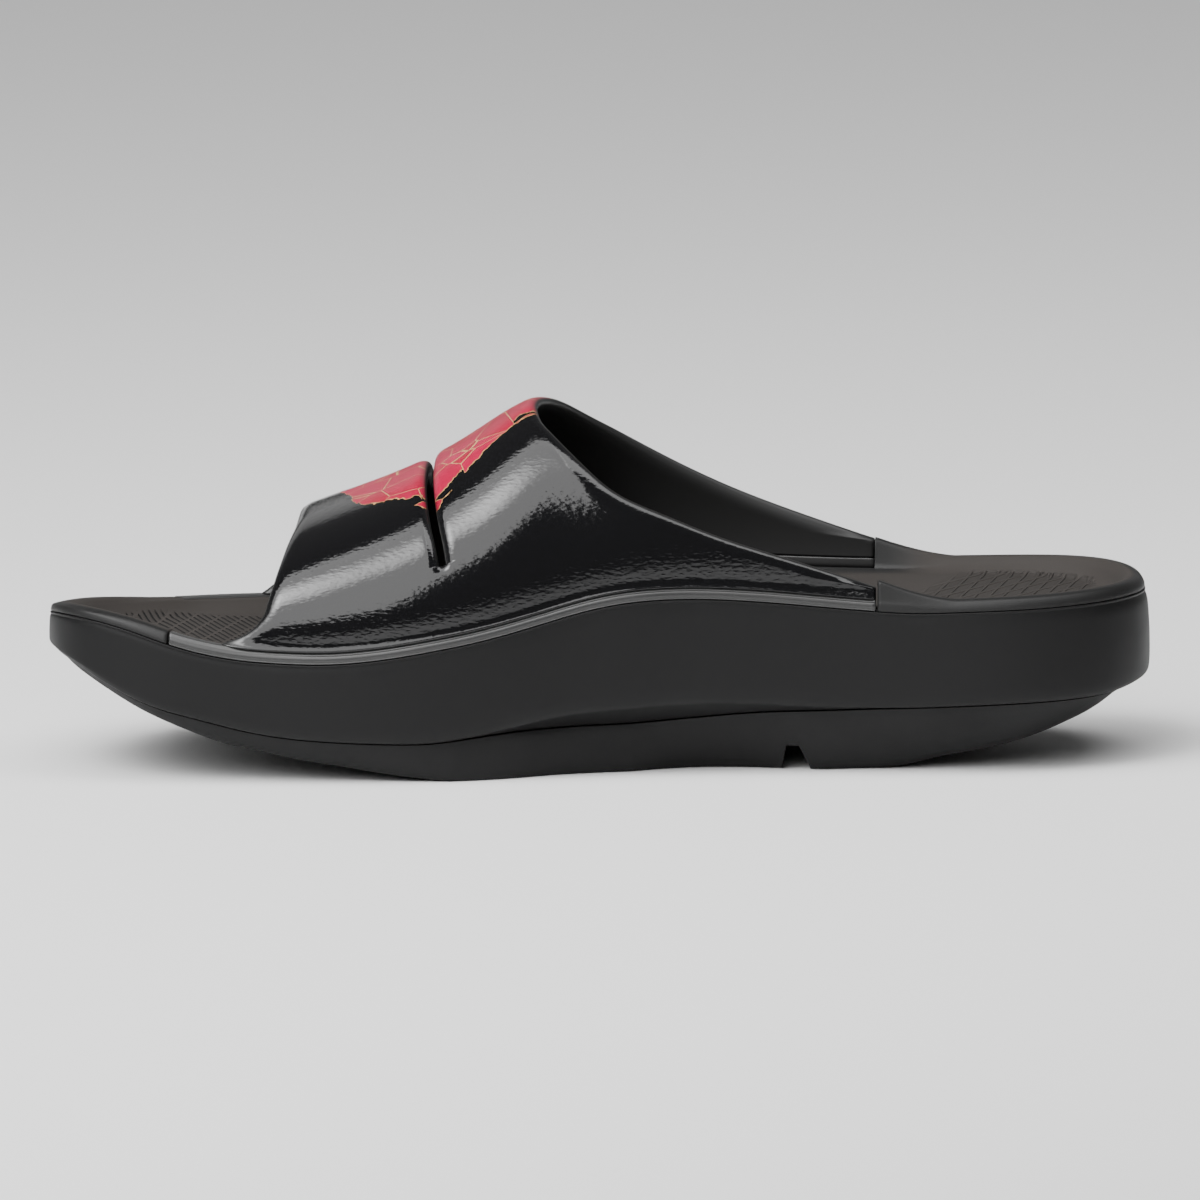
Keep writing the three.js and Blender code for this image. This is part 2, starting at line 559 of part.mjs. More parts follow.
// Outer and inner point of the strap or its flange, before its edges are rounded
function strapFaces(column, share) {
  if (column.rise === undefined) {
    const outer = strapPoint(share, column.up, column.side);
    const normal = strapNormal(share, column.up, column.side);
    return { outer, inner: outer.clone().addScaledVector(normal, -strapWall), normal };
  }
  const f = ringFrame(column.side * turnAt(share));
  return {
    outer: sectionPoint(f, column.inset, 0, f.part + column.rise),
    inner: sectionPoint(f, flangeInset, 0, f.part + column.rise),
    normal: new THREE.Vector3(-f.inward.x, -f.inward.y, 0),
  };
}

// Upper: one wall with the strap and its flange, open at toe, heel and slot
function upper() {
  const crest = { side: -1, up: 1 };
  const columns = [...strapColumnsOf(-1), crest, ...strapColumnsOf(1).reverse()];
  const edgePoint = (column, end) => {
    const place = columnRows(column, 1, 1)[end];
    return strapFaces(column, place).outer;
  };
  // Sine of the angle between a free edge and the length, so that its rounding keeps one width
  const sineAt = (j, end) => {
    const run = edgePoint(columns[Math.min(j + 1, columns.length - 1)], end)
      .sub(edgePoint(columns[Math.max(j - 1, 0)], end));
    return THREE.MathUtils.clamp(Math.hypot(run.y, run.z) / run.length(), leastSine, 1);
  };
  const outerPoints = [];
  const innerPoints = [];
  let rowCount = 0;
  columns.forEach((column, j) => {
    const flange = column.rise !== undefined;
    const sines = flange ? [1, 1] : [sineAt(j, 'front'), sineAt(j, 'rear')];
    const { rows, front, rear, slot, gap } = columnRows(column, ...sines);
    const slotFoot = strapPoint(slot, Math.min(column.up, slotEnd), column.side);
    const pastSlot = slotFoot.distanceTo(strapPoint(slot, slotEnd, column.side));
    rowCount = rows.length;
    rows.forEach((share) => {
      const { outer, inner, normal } = strapFaces(column, share);
      const fromEdge = Math.min((share - front) * sines[0], (rear - share) * sines[1]) * soleLength;
      const fromSlot = Math.hypot(Math.max(0, Math.abs(share - slot) - gap) * soleLength, pastSlot);
      const edgeDraw = drawIn(fromEdge, flange ? seamRadius : strapWall * edgeShare);
      const slotDraw = flange ? 0 : drawIn(fromSlot, lipRadius);
      const draw = Math.max(edgeDraw, slotDraw);
      outerPoints.push(outer.addScaledVector(normal, -draw));
      innerPoints.push(inner.addScaledVector(normal, draw));
    });
  });
  const slotRow = edgeStops.length + frontBands + lipStops.length - 1;
  const inSlot = (i, j) => i === slotRow
    && [j, j + 1].every((k) => columns[k].rise === undefined && columns[k].up >= slotEnd);
  const faces = [];
  const sheet = outerPoints.length;
  const at = (i, j) => j * rowCount + i;
  const present = (i, j) => i >= 0 && j >= 0 && i < rowCount - 1 && j < columns.length - 1 && !inSlot(i, j);
  const wall = (a, b) => faces.push([a, b, b + sheet], [a, b + sheet, a + sheet]);
  for (let i = 0; i < rowCount - 1; i += 1) {
    for (let j = 0; j < columns.length - 1; j += 1) {
      if (!present(i, j)) continue;
      const [a, b, c, d] = [at(i, j), at(i + 1, j), at(i + 1, j + 1), at(i, j + 1)];
      faces.push([a, b, c], [a, c, d], [a + sheet, c + sheet, b + sheet], [a + sheet, d + sheet, c + sheet]);
      if (!present(i, j - 1)) wall(b, a);
      if (!present(i + 1, j)) wall(c, b);
      if (!present(i, j + 1)) wall(d, c);
      if (!present(i - 1, j)) wall(a, d);
    }
  }
  return solidGeometry([...outerPoints, ...innerPoints], faces);
}

const finishes = {
  upper: { color: 0x1b1b1c, roughness: 0.28 },
  footbed: { color: 0x4a4643, roughness: 0.75 },
  midsole: { color: 0x2f2f30, roughness: 0.6 },
  outsole: { color: 0x2a2a2b, roughness: 0.8 },
};

const shoe = new THREE.Group();
Object.entries({ upper, footbed, midsole, outsole }).forEach(([name, make]) => {
  const material = new THREE.MeshStandardMaterial({ ...finishes[name], metalness: 0 });
  const mesh = new THREE.Mesh(make(), material);
  mesh.name = name;
  shoe.add(mesh);
});

// The origin goes to the floor under the middle of the whole outline
const bounds = new THREE.Box3().setFromObject(shoe);
const centre = bounds.getCenter(new THREE.Vector3());
shoe.position.set(-centre.x, -centre.y, -bounds.min.z);

export default shoe;
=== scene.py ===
"""A right-foot slide sandal of moulded foam, dressed over its CAD solids, on a plain pale floor.

Lengths inside the shape functions are millimetres; add_piece turns them into metres. The toe points to -X,
the arch side is -Y and Z is up. The footbed, sidewall and tread are rings of sections round the outline;
the strap is a lattice of points over its two free edges and its slot.
"""

import math

import bmesh
import bpy
import numpy as np
from bpy.props import FloatProperty, FloatVectorProperty, PointerProperty
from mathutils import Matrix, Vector


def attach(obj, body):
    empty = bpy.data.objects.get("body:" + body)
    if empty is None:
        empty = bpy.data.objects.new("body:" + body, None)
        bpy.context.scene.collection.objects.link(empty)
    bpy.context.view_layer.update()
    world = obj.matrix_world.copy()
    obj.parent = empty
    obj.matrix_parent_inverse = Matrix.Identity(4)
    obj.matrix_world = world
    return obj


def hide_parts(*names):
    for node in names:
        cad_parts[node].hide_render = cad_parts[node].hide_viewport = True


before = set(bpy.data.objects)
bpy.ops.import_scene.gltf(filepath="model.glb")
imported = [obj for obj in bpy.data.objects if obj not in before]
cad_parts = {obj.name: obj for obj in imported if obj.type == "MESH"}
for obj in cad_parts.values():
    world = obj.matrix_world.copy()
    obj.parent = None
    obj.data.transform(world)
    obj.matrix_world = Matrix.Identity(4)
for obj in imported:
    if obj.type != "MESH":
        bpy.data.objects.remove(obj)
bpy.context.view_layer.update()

bl_info = {
    "name": "Foam Slide Sandal",
    "version": (1, 0, 0),
    "blender": (4, 5, 0),
    "location": "3D View > Sidebar > Slide",
    "description": "Builds a foam slide sandal piece by piece, with its floor, lights and camera",
    "category": "Object",
}

# Tables: shares of the driving sizes

# at is a share of the sole's length; half widths and tucks are shares of the ball width; the parting line,
# the sidewall's lower edge (step), the footbed's middle (floor) and the tread's top (core) of the rim height
SOLE_COLUMNS = ("at", "medial", "lateral", "part_medial", "part_lateral", "step_medial", "step_lateral",
                "tuck_medial", "floor", "core")
SOLE_ROWS = np.array([
    (0.000, 0.180, -0.180, 0.952, 0.952, 0.758, 0.758, 0.010, 0.825, 0.740),
    (0.011, 0.317, -0.033, 0.995, 0.900, 0.730, 0.715, 0.010, 0.820, 0.730),
    (0.030, 0.381, 0.065, 0.995, 0.862, 0.673, 0.650, 0.010, 0.810, 0.695),
    (0.052, 0.414, 0.158, 0.972, 0.825, 0.590, 0.575, 0.010, 0.795, 0.630),
    (0.080, 0.440, 0.246, 0.922, 0.785, 0.500, 0.490, 0.010, 0.778, 0.555),
    (0.108, 0.456, 0.316, 0.858, 0.752, 0.438, 0.430, 0.010, 0.755, 0.480),
    (0.134, 0.463, 0.363, 0.810, 0.740, 0.397, 0.390, 0.010, 0.735, 0.428),
    (0.175, 0.469, 0.419, 0.762, 0.726, 0.327, 0.323, 0.010, 0.708, 0.366),
    (0.208, 0.475, 0.453, 0.747, 0.717, 0.288, 0.287, 0.010, 0.690, 0.323),
    (0.257, 0.480, 0.490, 0.742, 0.713, 0.260, 0.260, 0.010, 0.675, 0.280),
    (0.309, 0.475, 0.515, 0.774, 0.738, 0.245, 0.245, 0.010, 0.680, 0.250),
    (0.348, 0.465, 0.520, 0.816, 0.775, 0.242, 0.242, 0.010, 0.705, 0.240),
    (0.387, 0.450, 0.513, 0.863, 0.825, 0.280, 0.255, 0.014, 0.745, 0.240),
    (0.428, 0.430, 0.495, 0.930, 0.882, 0.338, 0.285, 0.032, 0.795, 0.245),
    (0.463, 0.410, 0.473, 0.995, 0.932, 0.392, 0.315, 0.060, 0.840, 0.255),
    (0.487, 0.400, 0.457, 1.040, 0.965, 0.412, 0.333, 0.068, 0.865, 0.263),
    (0.530, 0.385, 0.430, 1.090, 1.000, 0.432, 0.358, 0.078, 0.905, 0.275),
    (0.572, 0.370, 0.410, 1.103, 1.010, 0.453, 0.372, 0.078, 0.932, 0.287),
    (0.651, 0.355, 0.392, 1.078, 1.000, 0.447, 0.390, 0.046, 0.955, 0.305),
    (0.706, 0.350, 0.382, 1.044, 0.990, 0.422, 0.400, 0.024, 0.963, 0.310),
    (0.751, 0.350, 0.377, 1.019, 0.985, 0.417, 0.405, 0.013, 0.963, 0.312),
    (0.781, 0.352, 0.373, 1.007, 0.985, 0.417, 0.410, 0.010, 0.960, 0.318),
    (0.833, 0.355, 0.366, 1.015, 0.993, 0.430, 0.425, 0.010, 0.957, 0.340),
    (0.896, 0.340, 0.343, 1.028, 1.007, 0.445, 0.443, 0.010, 0.963, 0.385),
    (0.931, 0.306, 0.306, 1.035, 1.020, 0.450, 0.450, 0.010, 0.968, 0.420),
    (0.967, 0.236, 0.234, 1.040, 1.030, 0.460, 0.460, 0.010, 0.975, 0.450),
    (0.989, 0.146, 0.143, 1.038, 1.032, 0.480, 0.480, 0.010, 0.982, 0.475),
    (1.000, 0.000, 0.000, 1.022, 1.022, 0.495, 0.495, 0.010, 0.988, 0.485),
])

# The tread's underside: height as a share of the rim height, insets of its foot as shares of the ball width
TREAD_COLUMNS = ("at", "height", "inset_medial", "inset_lateral")
TREAD_ROWS = np.array([
    (0.000, 0.738, 0.035, 0.035), (0.013, 0.700, 0.040, 0.040), (0.030, 0.635, 0.050, 0.050),
    (0.055, 0.533, 0.056, 0.056), (0.082, 0.430, 0.060, 0.060), (0.119, 0.320, 0.065, 0.065),
    (0.156, 0.230, 0.065, 0.065), (0.193, 0.177, 0.060, 0.060), (0.229, 0.125, 0.057, 0.057),
    (0.264, 0.090, 0.055, 0.055), (0.301, 0.048, 0.047, 0.050), (0.338, 0.015, 0.040, 0.044),
    (0.364, 0.000, 0.030, 0.040), (0.409, 0.000, 0.020, 0.040), (0.446, 0.000, 0.025, 0.040),
    (0.483, 0.000, 0.055, 0.045), (0.520, 0.000, 0.085, 0.055), (0.558, 0.000, 0.125, 0.065),
    (0.595, 0.000, 0.140, 0.070), (0.632, 0.000, 0.135, 0.073), (0.669, 0.000, 0.110, 0.075),
    (0.699, 0.000, 0.090, 0.078), (0.740, 0.000, 0.110, 0.085), (0.762, 0.000, 0.115, 0.090),
    (0.781, 0.015, 0.120, 0.100), (0.814, 0.072, 0.115, 0.110), (0.851, 0.120, 0.110, 0.110),
    (0.888, 0.175, 0.115, 0.115), (0.924, 0.250, 0.120, 0.120), (0.961, 0.348, 0.120, 0.120),
    (0.978, 0.408, 0.110, 0.110), (1.000, 0.475, 0.090, 0.090),
])

# Sections across the strap: crest as a share of the strap height, exponent of its superellipse
STRAP_ROWS = np.array([
    (0.100, 0.498, 2.50), (0.152, 0.554, 2.50), (0.182, 0.598, 2.50), (0.204, 0.634, 2.50),
    (0.223, 0.656, 2.50), (0.240, 0.673, 2.50), (0.257, 0.694, 2.50), (0.293, 0.729, 2.45),
    (0.329, 0.776, 2.40), (0.348, 0.803, 2.35), (0.383, 0.867, 2.20), (0.420, 0.951, 2.10),
    (0.439, 0.983, 2.05), (0.450, 0.993, 2.00), (0.483, 1.019, 2.00), (0.539, 1.047, 2.00),
    (0.613, 1.058, 2.00), (0.755, 1.035, 2.00), (0.830, 1.000, 2.00),
])

# Outline of the strap: over runs from 0 at the arch side's bead, through 1 at the crest, to 2 at the other
# bead; the free edges and the middle of the slot are shares of the sole's length
OUTLINE_ROWS = np.array([
    (0.00, 0.1560, 0.7884, 0.3679), (0.05, 0.1742, 0.7403, 0.3657), (0.10, 0.1835, 0.6774, 0.3639),
    (0.15, 0.1898, 0.6187, 0.3621), (0.20, 0.1948, 0.5859, 0.3605), (0.25, 0.1964, 0.5572, 0.3589),
    (0.30, 0.1980, 0.5314, 0.3574), (0.37, 0.2002, 0.5089, 0.3549), (0.45, 0.2033, 0.4921, 0.3512),
    (0.53, 0.2061, 0.4778, 0.3485), (0.60, 0.2089, 0.4670, 0.3466), (0.68, 0.2118, 0.4567, 0.3449),
    (0.76, 0.2148, 0.4481, 0.3441), (0.84, 0.2182, 0.4439, 0.3436), (0.92, 0.2213, 0.4418, 0.3436),
    (1.00, 0.2248, 0.4412, 0.3440), (1.08, 0.2262, 0.4440, 0.3450), (1.16, 0.2266, 0.4490, 0.3463),
    (1.24, 0.2260, 0.4574, 0.3478), (1.32, 0.2252, 0.4687, 0.3492), (1.40, 0.2240, 0.4814, 0.3505),
    (1.47, 0.2227, 0.4956, 0.3517), (1.55, 0.2208, 0.5177, 0.3536), (1.63, 0.2186, 0.5441, 0.3563),
    (1.70, 0.2167, 0.5732, 0.3590), (1.75, 0.2156, 0.5987, 0.3601), (1.80, 0.2145, 0.6295, 0.3609),
    (1.85, 0.2128, 0.6693, 0.3617), (1.90, 0.2105, 0.7151, 0.3625), (1.95, 0.2055, 0.7616, 0.3633),
    (2.00, 0.1900, 0.8026, 0.3640),
])

# Shares of the sole's length at which something starts or ends
FRONT_SEAM, REAR_SEAM = 0.1075, 0.754
TOE_SPINE, HEEL_SPINE = 0.105, 0.89
NOTCH = (0.668, 0.672, 0.683, 0.694)  # foot and top of its front side, top and foot of its rear side
TREAD_BLEND = 0.06
HEEL_BULGE_AT = 0.9
SLOT_END = 0.27  # place of the slot's two ends up the strap's sides

# Millimetres
CREST_OFFSET = 3.0
STRAP_INSET = 1.2
RIM_RISE, WING_RISE, WING_LENGTH = 2.3, 4.8, 20.0
LEDGE_DEPTH, INSOLE_THICKNESS = 3.5, 5.0
PIECE_GAP, FLANGE_GAP = 0.3, 0.42
CREASE_RISE = 0.6
WALL_BULGE, HEEL_BULGE = 0.4, 0.9
TREAD_STEP, TUCK_FALL, TREAD_THIN, NOTCH_DEPTH = 0.9, 0.75, 1.6, 6.0
# How the footbed's rim meets the flange: rises of its top and lip at the front seam and the runs before it over
# which they come on, and how far past the seam the lip sinks away under the strap
TOE_TOP_RISE = 0.7
SEAM_TOP_RISE, SEAM_TOP_RUN = 0.85, 24
SEAM_LIP_RISE, SEAM_LIP_RUN = 1.45, 20
SINK_FROM, SINK_TO = 22, 50
HEEL_SEAT_RISE = 1.0
# The strap's foot flares out over its bead; its edges' rounding takes a share of the wall from each face, and the
# film is whole until the rounding has reached 0.16 of that depth and gone past 0.78
FLARE_RISE, FLARE = 2.4, 0.85
ROUND_SHARE = 0.47
FILM_WHOLE, FILM_FALL = 1.25, 1.6
# Puts the origin under the middle of the whole outline, as the CAD model has it
CENTRE = np.array((-0.45, -2.0, 0.0))

# Places round the ring and along a flange
FOOTBED_PLACES, SOLE_PLACES, FLANGE_PLACES = 1000, 1100, 420


# Curves

def hermite(xs, ys, x):
    """Cubic Hermite pieces through (xs, ys), each slope the weighted mean of its two neighbours'."""
    gap = np.diff(xs)
    rise = np.diff(ys) / gap
    weighted = (rise[:-1] * gap[1:] + rise[1:] * gap[:-1]) / (gap[:-1] + gap[1:])
    slope = np.concatenate((rise[:1], weighted, rise[-1:]))
    i = np.clip(np.searchsorted(xs, x, side="right") - 1, 0, len(xs) - 2)
    t = (x - xs[i]) / gap[i]
    blend = t * t * (3 - 2 * t)
    return (ys[i] + (ys[i + 1] - ys[i]) * blend
            + gap[i] * (slope[i] * (t**3 - 2 * t * t + t) + slope[i + 1] * (t**3 - t * t)))


def fair_curve(xs, ys, width):
    """The Hermite curve through (xs, ys) averaged by a bell of the given width, as a function of x."""
    step = width / 6
    dense = np.arange(xs[0] - 4 * width, xs[-1] + 4 * width, step)
    # beyond its ends the curve goes on at its last slope, turned half round, so that averaging keeps the ends
    inside = hermite(xs, ys, np.clip(dense, xs[0], xs[-1]))
    low, high = dense < xs[0], dense > xs[-1]
    inside[low] = 2 * ys[0] - hermite(xs, ys, 2 * xs[0] - dense[low])
    inside[high] = 2 * ys[-1] - hermite(xs, ys, 2 * xs[-1] - dense[high])
    reach = np.arange(-18, 19)
    bell = np.exp(-0.5 * (reach * step / width) ** 2)
    faired = np.convolve(inside, bell / bell.sum(), mode="same")
    return lambda x: np.interp(x, dense, faired)


def fair_ring(values, width):
    """A closed ring of values averaged by a bell whose width is a share of the whole ring."""
    wave = np.fft.rfftfreq(len(values), 1 / len(values))
    return np.fft.irfft(np.fft.rfft(values) * np.exp(-0.5 * (2 * np.pi * wave * width) ** 2), len(values))


def turn_at(share):
    """Turn of the outline at a share of the length: 0 at the toe tip, 1 at the heel."""
    return np.arccos(1 - 2 * np.clip(share, 0, 1)) / np.pi


def share_at(turn):
    """Share of the length at a turn of the outline."""
    return (1 - np.cos(np.pi * turn)) / 2


def mix(a, b, t):
    """From a at t = 0 to b at t = 1."""
    return a + (b - a) * t


def smooth_step(low, high, x):
    """Eased step from 0 at low to 1 at high."""
    t = np.clip((x - low) / (high - low), 0, 1)
    return t * t * (3 - 2 * t)


def cup(k, power=2.5):
    """Share of the fall from an edge to the middle: steep at the edge, level in the middle."""
    return 1 - (1 - k) ** power


def rounding(distance, width, depth):
    """How far an elliptic rounded edge draws a face in at a distance from the edge."""
    t = 1 - np.clip(distance / width, 0, 1)
    return depth * (1 - np.sqrt(np.clip(1 - t * t, 0, 1)))


# The ring of the outline

RING_COUNT = 4096
RING = {}


def build_ring(sizes):
    """Fills RING with the outline's values at even places from -1 (heel), by the arch side, to 1."""
    length, width, height = sizes.sole_length * 1e3, sizes.ball_width * 1e3, sizes.rim_height * 1e3
    place = np.arange(RING_COUNT) / RING_COUNT * 2 - 1
    turn = np.abs(place)
    share = share_at(turn)
    arch = place < 0
    column = dict(zip(SOLE_COLUMNS, SOLE_ROWS.T))
    turns = turn_at(column["at"])

    def sole(name, at=turn):
        return hermite(turns, column[name], at)

    def of_side(name):
        return np.where(arch, sole(name + "_medial"), sole(name + "_lateral"))

    tread = dict(zip(TREAD_COLUMNS, TREAD_ROWS.T))
    spine_turn = turn_at(np.clip(share, TOE_SPINE, HEEL_SPINE))
    tread_inset = np.where(arch, hermite(tread["at"], tread["inset_medial"], share),
                           hermite(tread["at"], tread["inset_lateral"], share))
    values = {
        "y": width * np.where(arch, -sole("medial"), sole("lateral")),
        "part": height * of_side("part"),
        "step": height * of_side("step"),
        "tuck": width * np.where(arch, sole("tuck_medial"), 0.01),
        "tread_inset": width * tread_inset,
        "spine_x": length * (share_at(spine_turn) - 0.5),
        "spine_y": width * (sole("lateral", spine_turn) - sole("medial", spine_turn)) / 2,
        "floor": height * sole("floor", spine_turn),
        "core": height * sole("core", spine_turn),
    }
    RING.update({name: fair_ring(v, 0.005) for name, v in values.items()})
    RING["x"] = length * (share - 0.5)
    run_x, run_y = (np.roll(RING[name], -1) - np.roll(RING[name], 1) for name in ("x", "y"))
    spacing = np.hypot(run_x, run_y)
    RING["in_x"], RING["in_y"] = run_y / spacing, -run_x / spacing
    RING["place"] = place
    RING["length"], RING["height"] = length, height


def ring_frame(place):
    """The ring's values at the given places, with the places and their shares of the length."""
    f = {name: np.interp(place, RING["place"], v, period=2) for name, v in RING.items()
         if name not in ("place", "length", "height")}
    f["place"], f["share"] = place, share_at(np.abs(place))
    return f


def ring_point(f, inset, k=0.0, z=0.0):
    """Points inset from the edge, then carried a share k of the way to the spine, at height z."""
    x = mix(f["x"] + f["in_x"] * inset, f["spine_x"], k)
    y = mix(f["y"] + f["in_y"] * inset, f["spine_y"], k)
    return np.stack(np.broadcast_arrays(x, y, z(x) if callable(z) else z), axis=-1).astype(float)


def profile(points, radii, spans, steps=4):
    """Carries a profile of corner points, each an array over the ring, into a smooth run of points.

    Each corner with a radius becomes a parabola between the two points that lie the radius off along its
    legs; each leg gets its own count of points between, closer together near its ends.
    """
    runs = []
    for i, corner in enumerate(points):
        radius = radii[i]
        if radius == 0 or i in (0, len(points) - 1):
            runs.append([corner])
            continue
        before, after = points[i - 1] - corner, points[i + 1] - corner
        reach = []
        for leg in (before, after):
            long = np.linalg.norm(leg, axis=-1, keepdims=True)
            reach.append(corner + leg / np.maximum(long, 1e-9) * np.minimum(radius, 0.48 * long))
        ts = np.linspace(0, 1, steps + 1)
        runs.append([(1 - t) ** 2 * reach[0] + 2 * t * (1 - t) * corner + t * t * reach[1] for t in ts])
    out = list(runs[0])
    for run, count in zip(runs[1:], spans):
        start, end = out[-1], run[0]
        for j in range(count):
            out.append(mix(start, end, (1 - math.cos(math.pi * (j + 1) / (count + 1))) / 2))
        out.extend(run)
    return np.stack(out)


# Meshes

def lattice_faces(rows, columns, closed):
    """Quads between neighbours of a lattice whose points run row by row; closed joins its last column on."""
    r, c = np.meshgrid(np.arange(rows - 1), np.arange(columns if closed else columns - 1), indexing="ij")
    n = (c + 1) % columns
    near, far = r * columns, (r + 1) * columns
    return np.stack((near + c, near + n, far + n, far + c), -1).reshape(-1, 4)


def add_piece(name, points, faces, material, replaced, fields=None):
    """Makes a closed mesh of points (millimetres) and quads, welded, facing outwards and shaded smooth."""
    mesh = bpy.data.meshes.new(name)
    flat = (points.reshape(-1, 3) + CENTRE) / 1e3
    mesh.vertices.add(len(flat))
    mesh.vertices.foreach_set("co", flat.ravel())
    mesh.loops.add(faces.size)
    mesh.loops.foreach_set("vertex_index", faces.ravel().astype(np.int32))
    mesh.polygons.add(len(faces))
    mesh.polygons.foreach_set("loop_start", np.arange(0, faces.size, 4, dtype=np.int32))
    mesh.update(calc_edges=True)
    for field, values in (fields or {}).items():
        layer = mesh.attributes.new(field, "FLOAT", "POINT")
        layer.data.foreach_set("value", np.asarray(values, np.float32).ravel())
    shape = bmesh.new()
    shape.from_mesh(mesh)
    bmesh.ops.remove_doubles(shape, verts=shape.verts, dist=2e-6)
    bmesh.ops.recalc_face_normals(shape, faces=shape.faces)
    if shape.calc_volume(signed=True) < 0:
        bmesh.ops.reverse_faces(shape, faces=shape.faces)
    shape.to_mesh(mesh)
    shape.free()
    mesh.polygons.foreach_set("use_smooth", np.ones(len(mesh.polygons), bool))
    mesh.materials.append(material)
    piece = bpy.data.objects.new(name, mesh)
    bpy.context.scene.collection.objects.link(piece)
    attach(piece, "root")
    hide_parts(replaced)


# Node groups and materials

def feed(tree, entry, source):
    """Links a socket to an input, or sets the input's own value."""
    if isinstance(source, bpy.types.NodeSocket):
        tree.links.new(source, entry)
    else:
        entry.default_value = source


def node(tree, kind, inputs=None, **settings):
    """Adds a node with its settings; inputs feed its sockets by name or number."""
    made = tree.nodes.new(kind)
    for key, value in settings.items():
        setattr(made, key, value)
    for key, source in (inputs or {}).items():
        feed(tree, made.inputs[key], source)
    return made


def maths(tree, operation, *terms, clamp=False):
    """A Math node of sockets or numbers; returns its output."""
    return node(tree, "ShaderNodeMath", dict(enumerate(terms)), operation=operation, use_clamp=clamp).outputs[0]


def fade(tree, factor, low, high):
    """From low where the factor is 0 to high where it is 1."""
    return maths(tree, "MULTIPLY_ADD", factor, high - low, low)


def blend(tree, factor, low, high):
    """The same for two colours or colour sockets."""
    return node(tree, "ShaderNodeMixRGB", {0: factor, 1: low, 2: high}).outputs[0]


def field(tree, name):
    """A field that the mesh carries on its points."""
    return node(tree, "ShaderNodeAttribute", attribute_name=name).outputs["Fac"]


def new_group(name, inputs, outputs):
    """A shader node group with named sockets, and its input and output nodes."""
    group = bpy.data.node_groups.new(name, "ShaderNodeTree")
    for label, kind, default in inputs:
        socket = group.interface.new_socket(label, in_out="INPUT", socket_type=kind)
        if default is not None:
            socket.default_value = default
    for label, kind in outputs:
        group.interface.new_socket(label, in_out="OUTPUT", socket_type=kind)
    return group, group.nodes.new("NodeGroupInput").outputs, group.nodes.new("NodeGroupOutput").inputs


def grain_group():
    """Skin of moulded foam or film: pebbles crossed by finer noise, and a slow mottle.

    Height is 1 less the distance to the nearest Voronoi point, whose place is bent a little by noise, plus a
    share of fine noise.
    """
    if "skin_grain" in bpy.data.node_groups:
        return bpy.data.node_groups["skin_grain"]
    group, entry, leave = new_group(
        "skin_grain",
        (("Vector", "NodeSocketVector", None), ("Pebbles", "NodeSocketFloat", 900.0),
         ("Fine", "NodeSocketFloat", 3000.0), ("Share", "NodeSocketFloat", 0.4)),
        (("Height", "NodeSocketFloat"), ("Mottle", "NodeSocketFloat")))
    bend, mottle_scale = 7e-4, 70.0

    def noise(scale, detail):
        return node(group, "ShaderNodeTexNoise", {"Vector": entry["Vector"], "Scale": scale, "Detail": detail})

    bent = blend(group, bend, entry["Vector"], noise(entry["Pebbles"], 2.0).outputs["Color"])
    pebble = node(group, "ShaderNodeTexVoronoi", {"Vector": bent, "Scale": entry["Pebbles"]}, feature="SMOOTH_F1")
    pebbles = maths(group, "SUBTRACT", 1.0, pebble.outputs["Distance"])
    fine = noise(entry["Fine"], 3.0).outputs["Fac"]
    feed(group, leave["Height"], maths(group, "MULTIPLY_ADD", fine, entry["Share"], pebbles))
    feed(group, leave["Mottle"], noise(mottle_scale, 4.0).outputs["Fac"])
    return group


def bars_group():
    """A family of parallel bars: 1 on a bar, 0 between, with soft sides.

    The coordinate across the bars is Across . Vector; the distance from the middle of its period is compared
    with half the bar's share, over the share that is soft.
    """
    if "pressed_bars" in bpy.data.node_groups:
        return bpy.data.node_groups["pressed_bars"]
    group, entry, leave = new_group(
        "pressed_bars",
        (("Vector", "NodeSocketVector", None), ("Across", "NodeSocketVector", None),
         ("Bar", "NodeSocketFloat", 0.3), ("Soft", "NodeSocketFloat", 0.08)),
        (("Mask", "NodeSocketFloat"),))
    dot = node(group, "ShaderNodeVectorMath", {0: entry["Vector"], 1: entry["Across"]}, operation="DOT_PRODUCT")
    saw = maths(group, "FRACT", dot.outputs["Value"])
    off_middle = maths(group, "ABSOLUTE", maths(group, "SUBTRACT", saw, 0.5))
    inside = maths(group, "SUBTRACT", maths(group, "MULTIPLY", entry["Bar"], 0.5), off_middle)
    soft = maths(group, "DIVIDE", inside, entry["Soft"])
    feed(group, leave["Mask"], maths(group, "ADD", soft, 0.5, clamp=True))
    return group


def new_material(name, base, roughness, specular):
    """A material with its Principled shader's constants set on the shader's own sockets."""
    material = bpy.data.materials.new(name)
    material.use_nodes = True
    tree = material.node_tree
    shader = tree.nodes["Principled BSDF"].inputs
    for label, value in (("Base Color", base), ("Roughness", roughness), ("Specular IOR Level", specular)):
        shader[label].default_value = value
    return material, tree, shader


def add_grain(tree, place, pebbles, fine, share):
    """Puts the skin grain into a material; returns its outputs."""
    inputs = {"Vector": place, "Pebbles": pebbles, "Fine": fine, "Share": share}
    return node(tree, "ShaderNodeGroup", inputs, node_tree=grain_group()).outputs


def add_bump(tree, shader, height, depth):
    """Bumps a shader by a height from 0 to 1 over a depth in metres."""
    bump = node(tree, "ShaderNodeBump", {"Height": height, "Strength": 1.0, "Distance": depth})
    feed(tree, shader["Normal"], bump.outputs["Normal"])


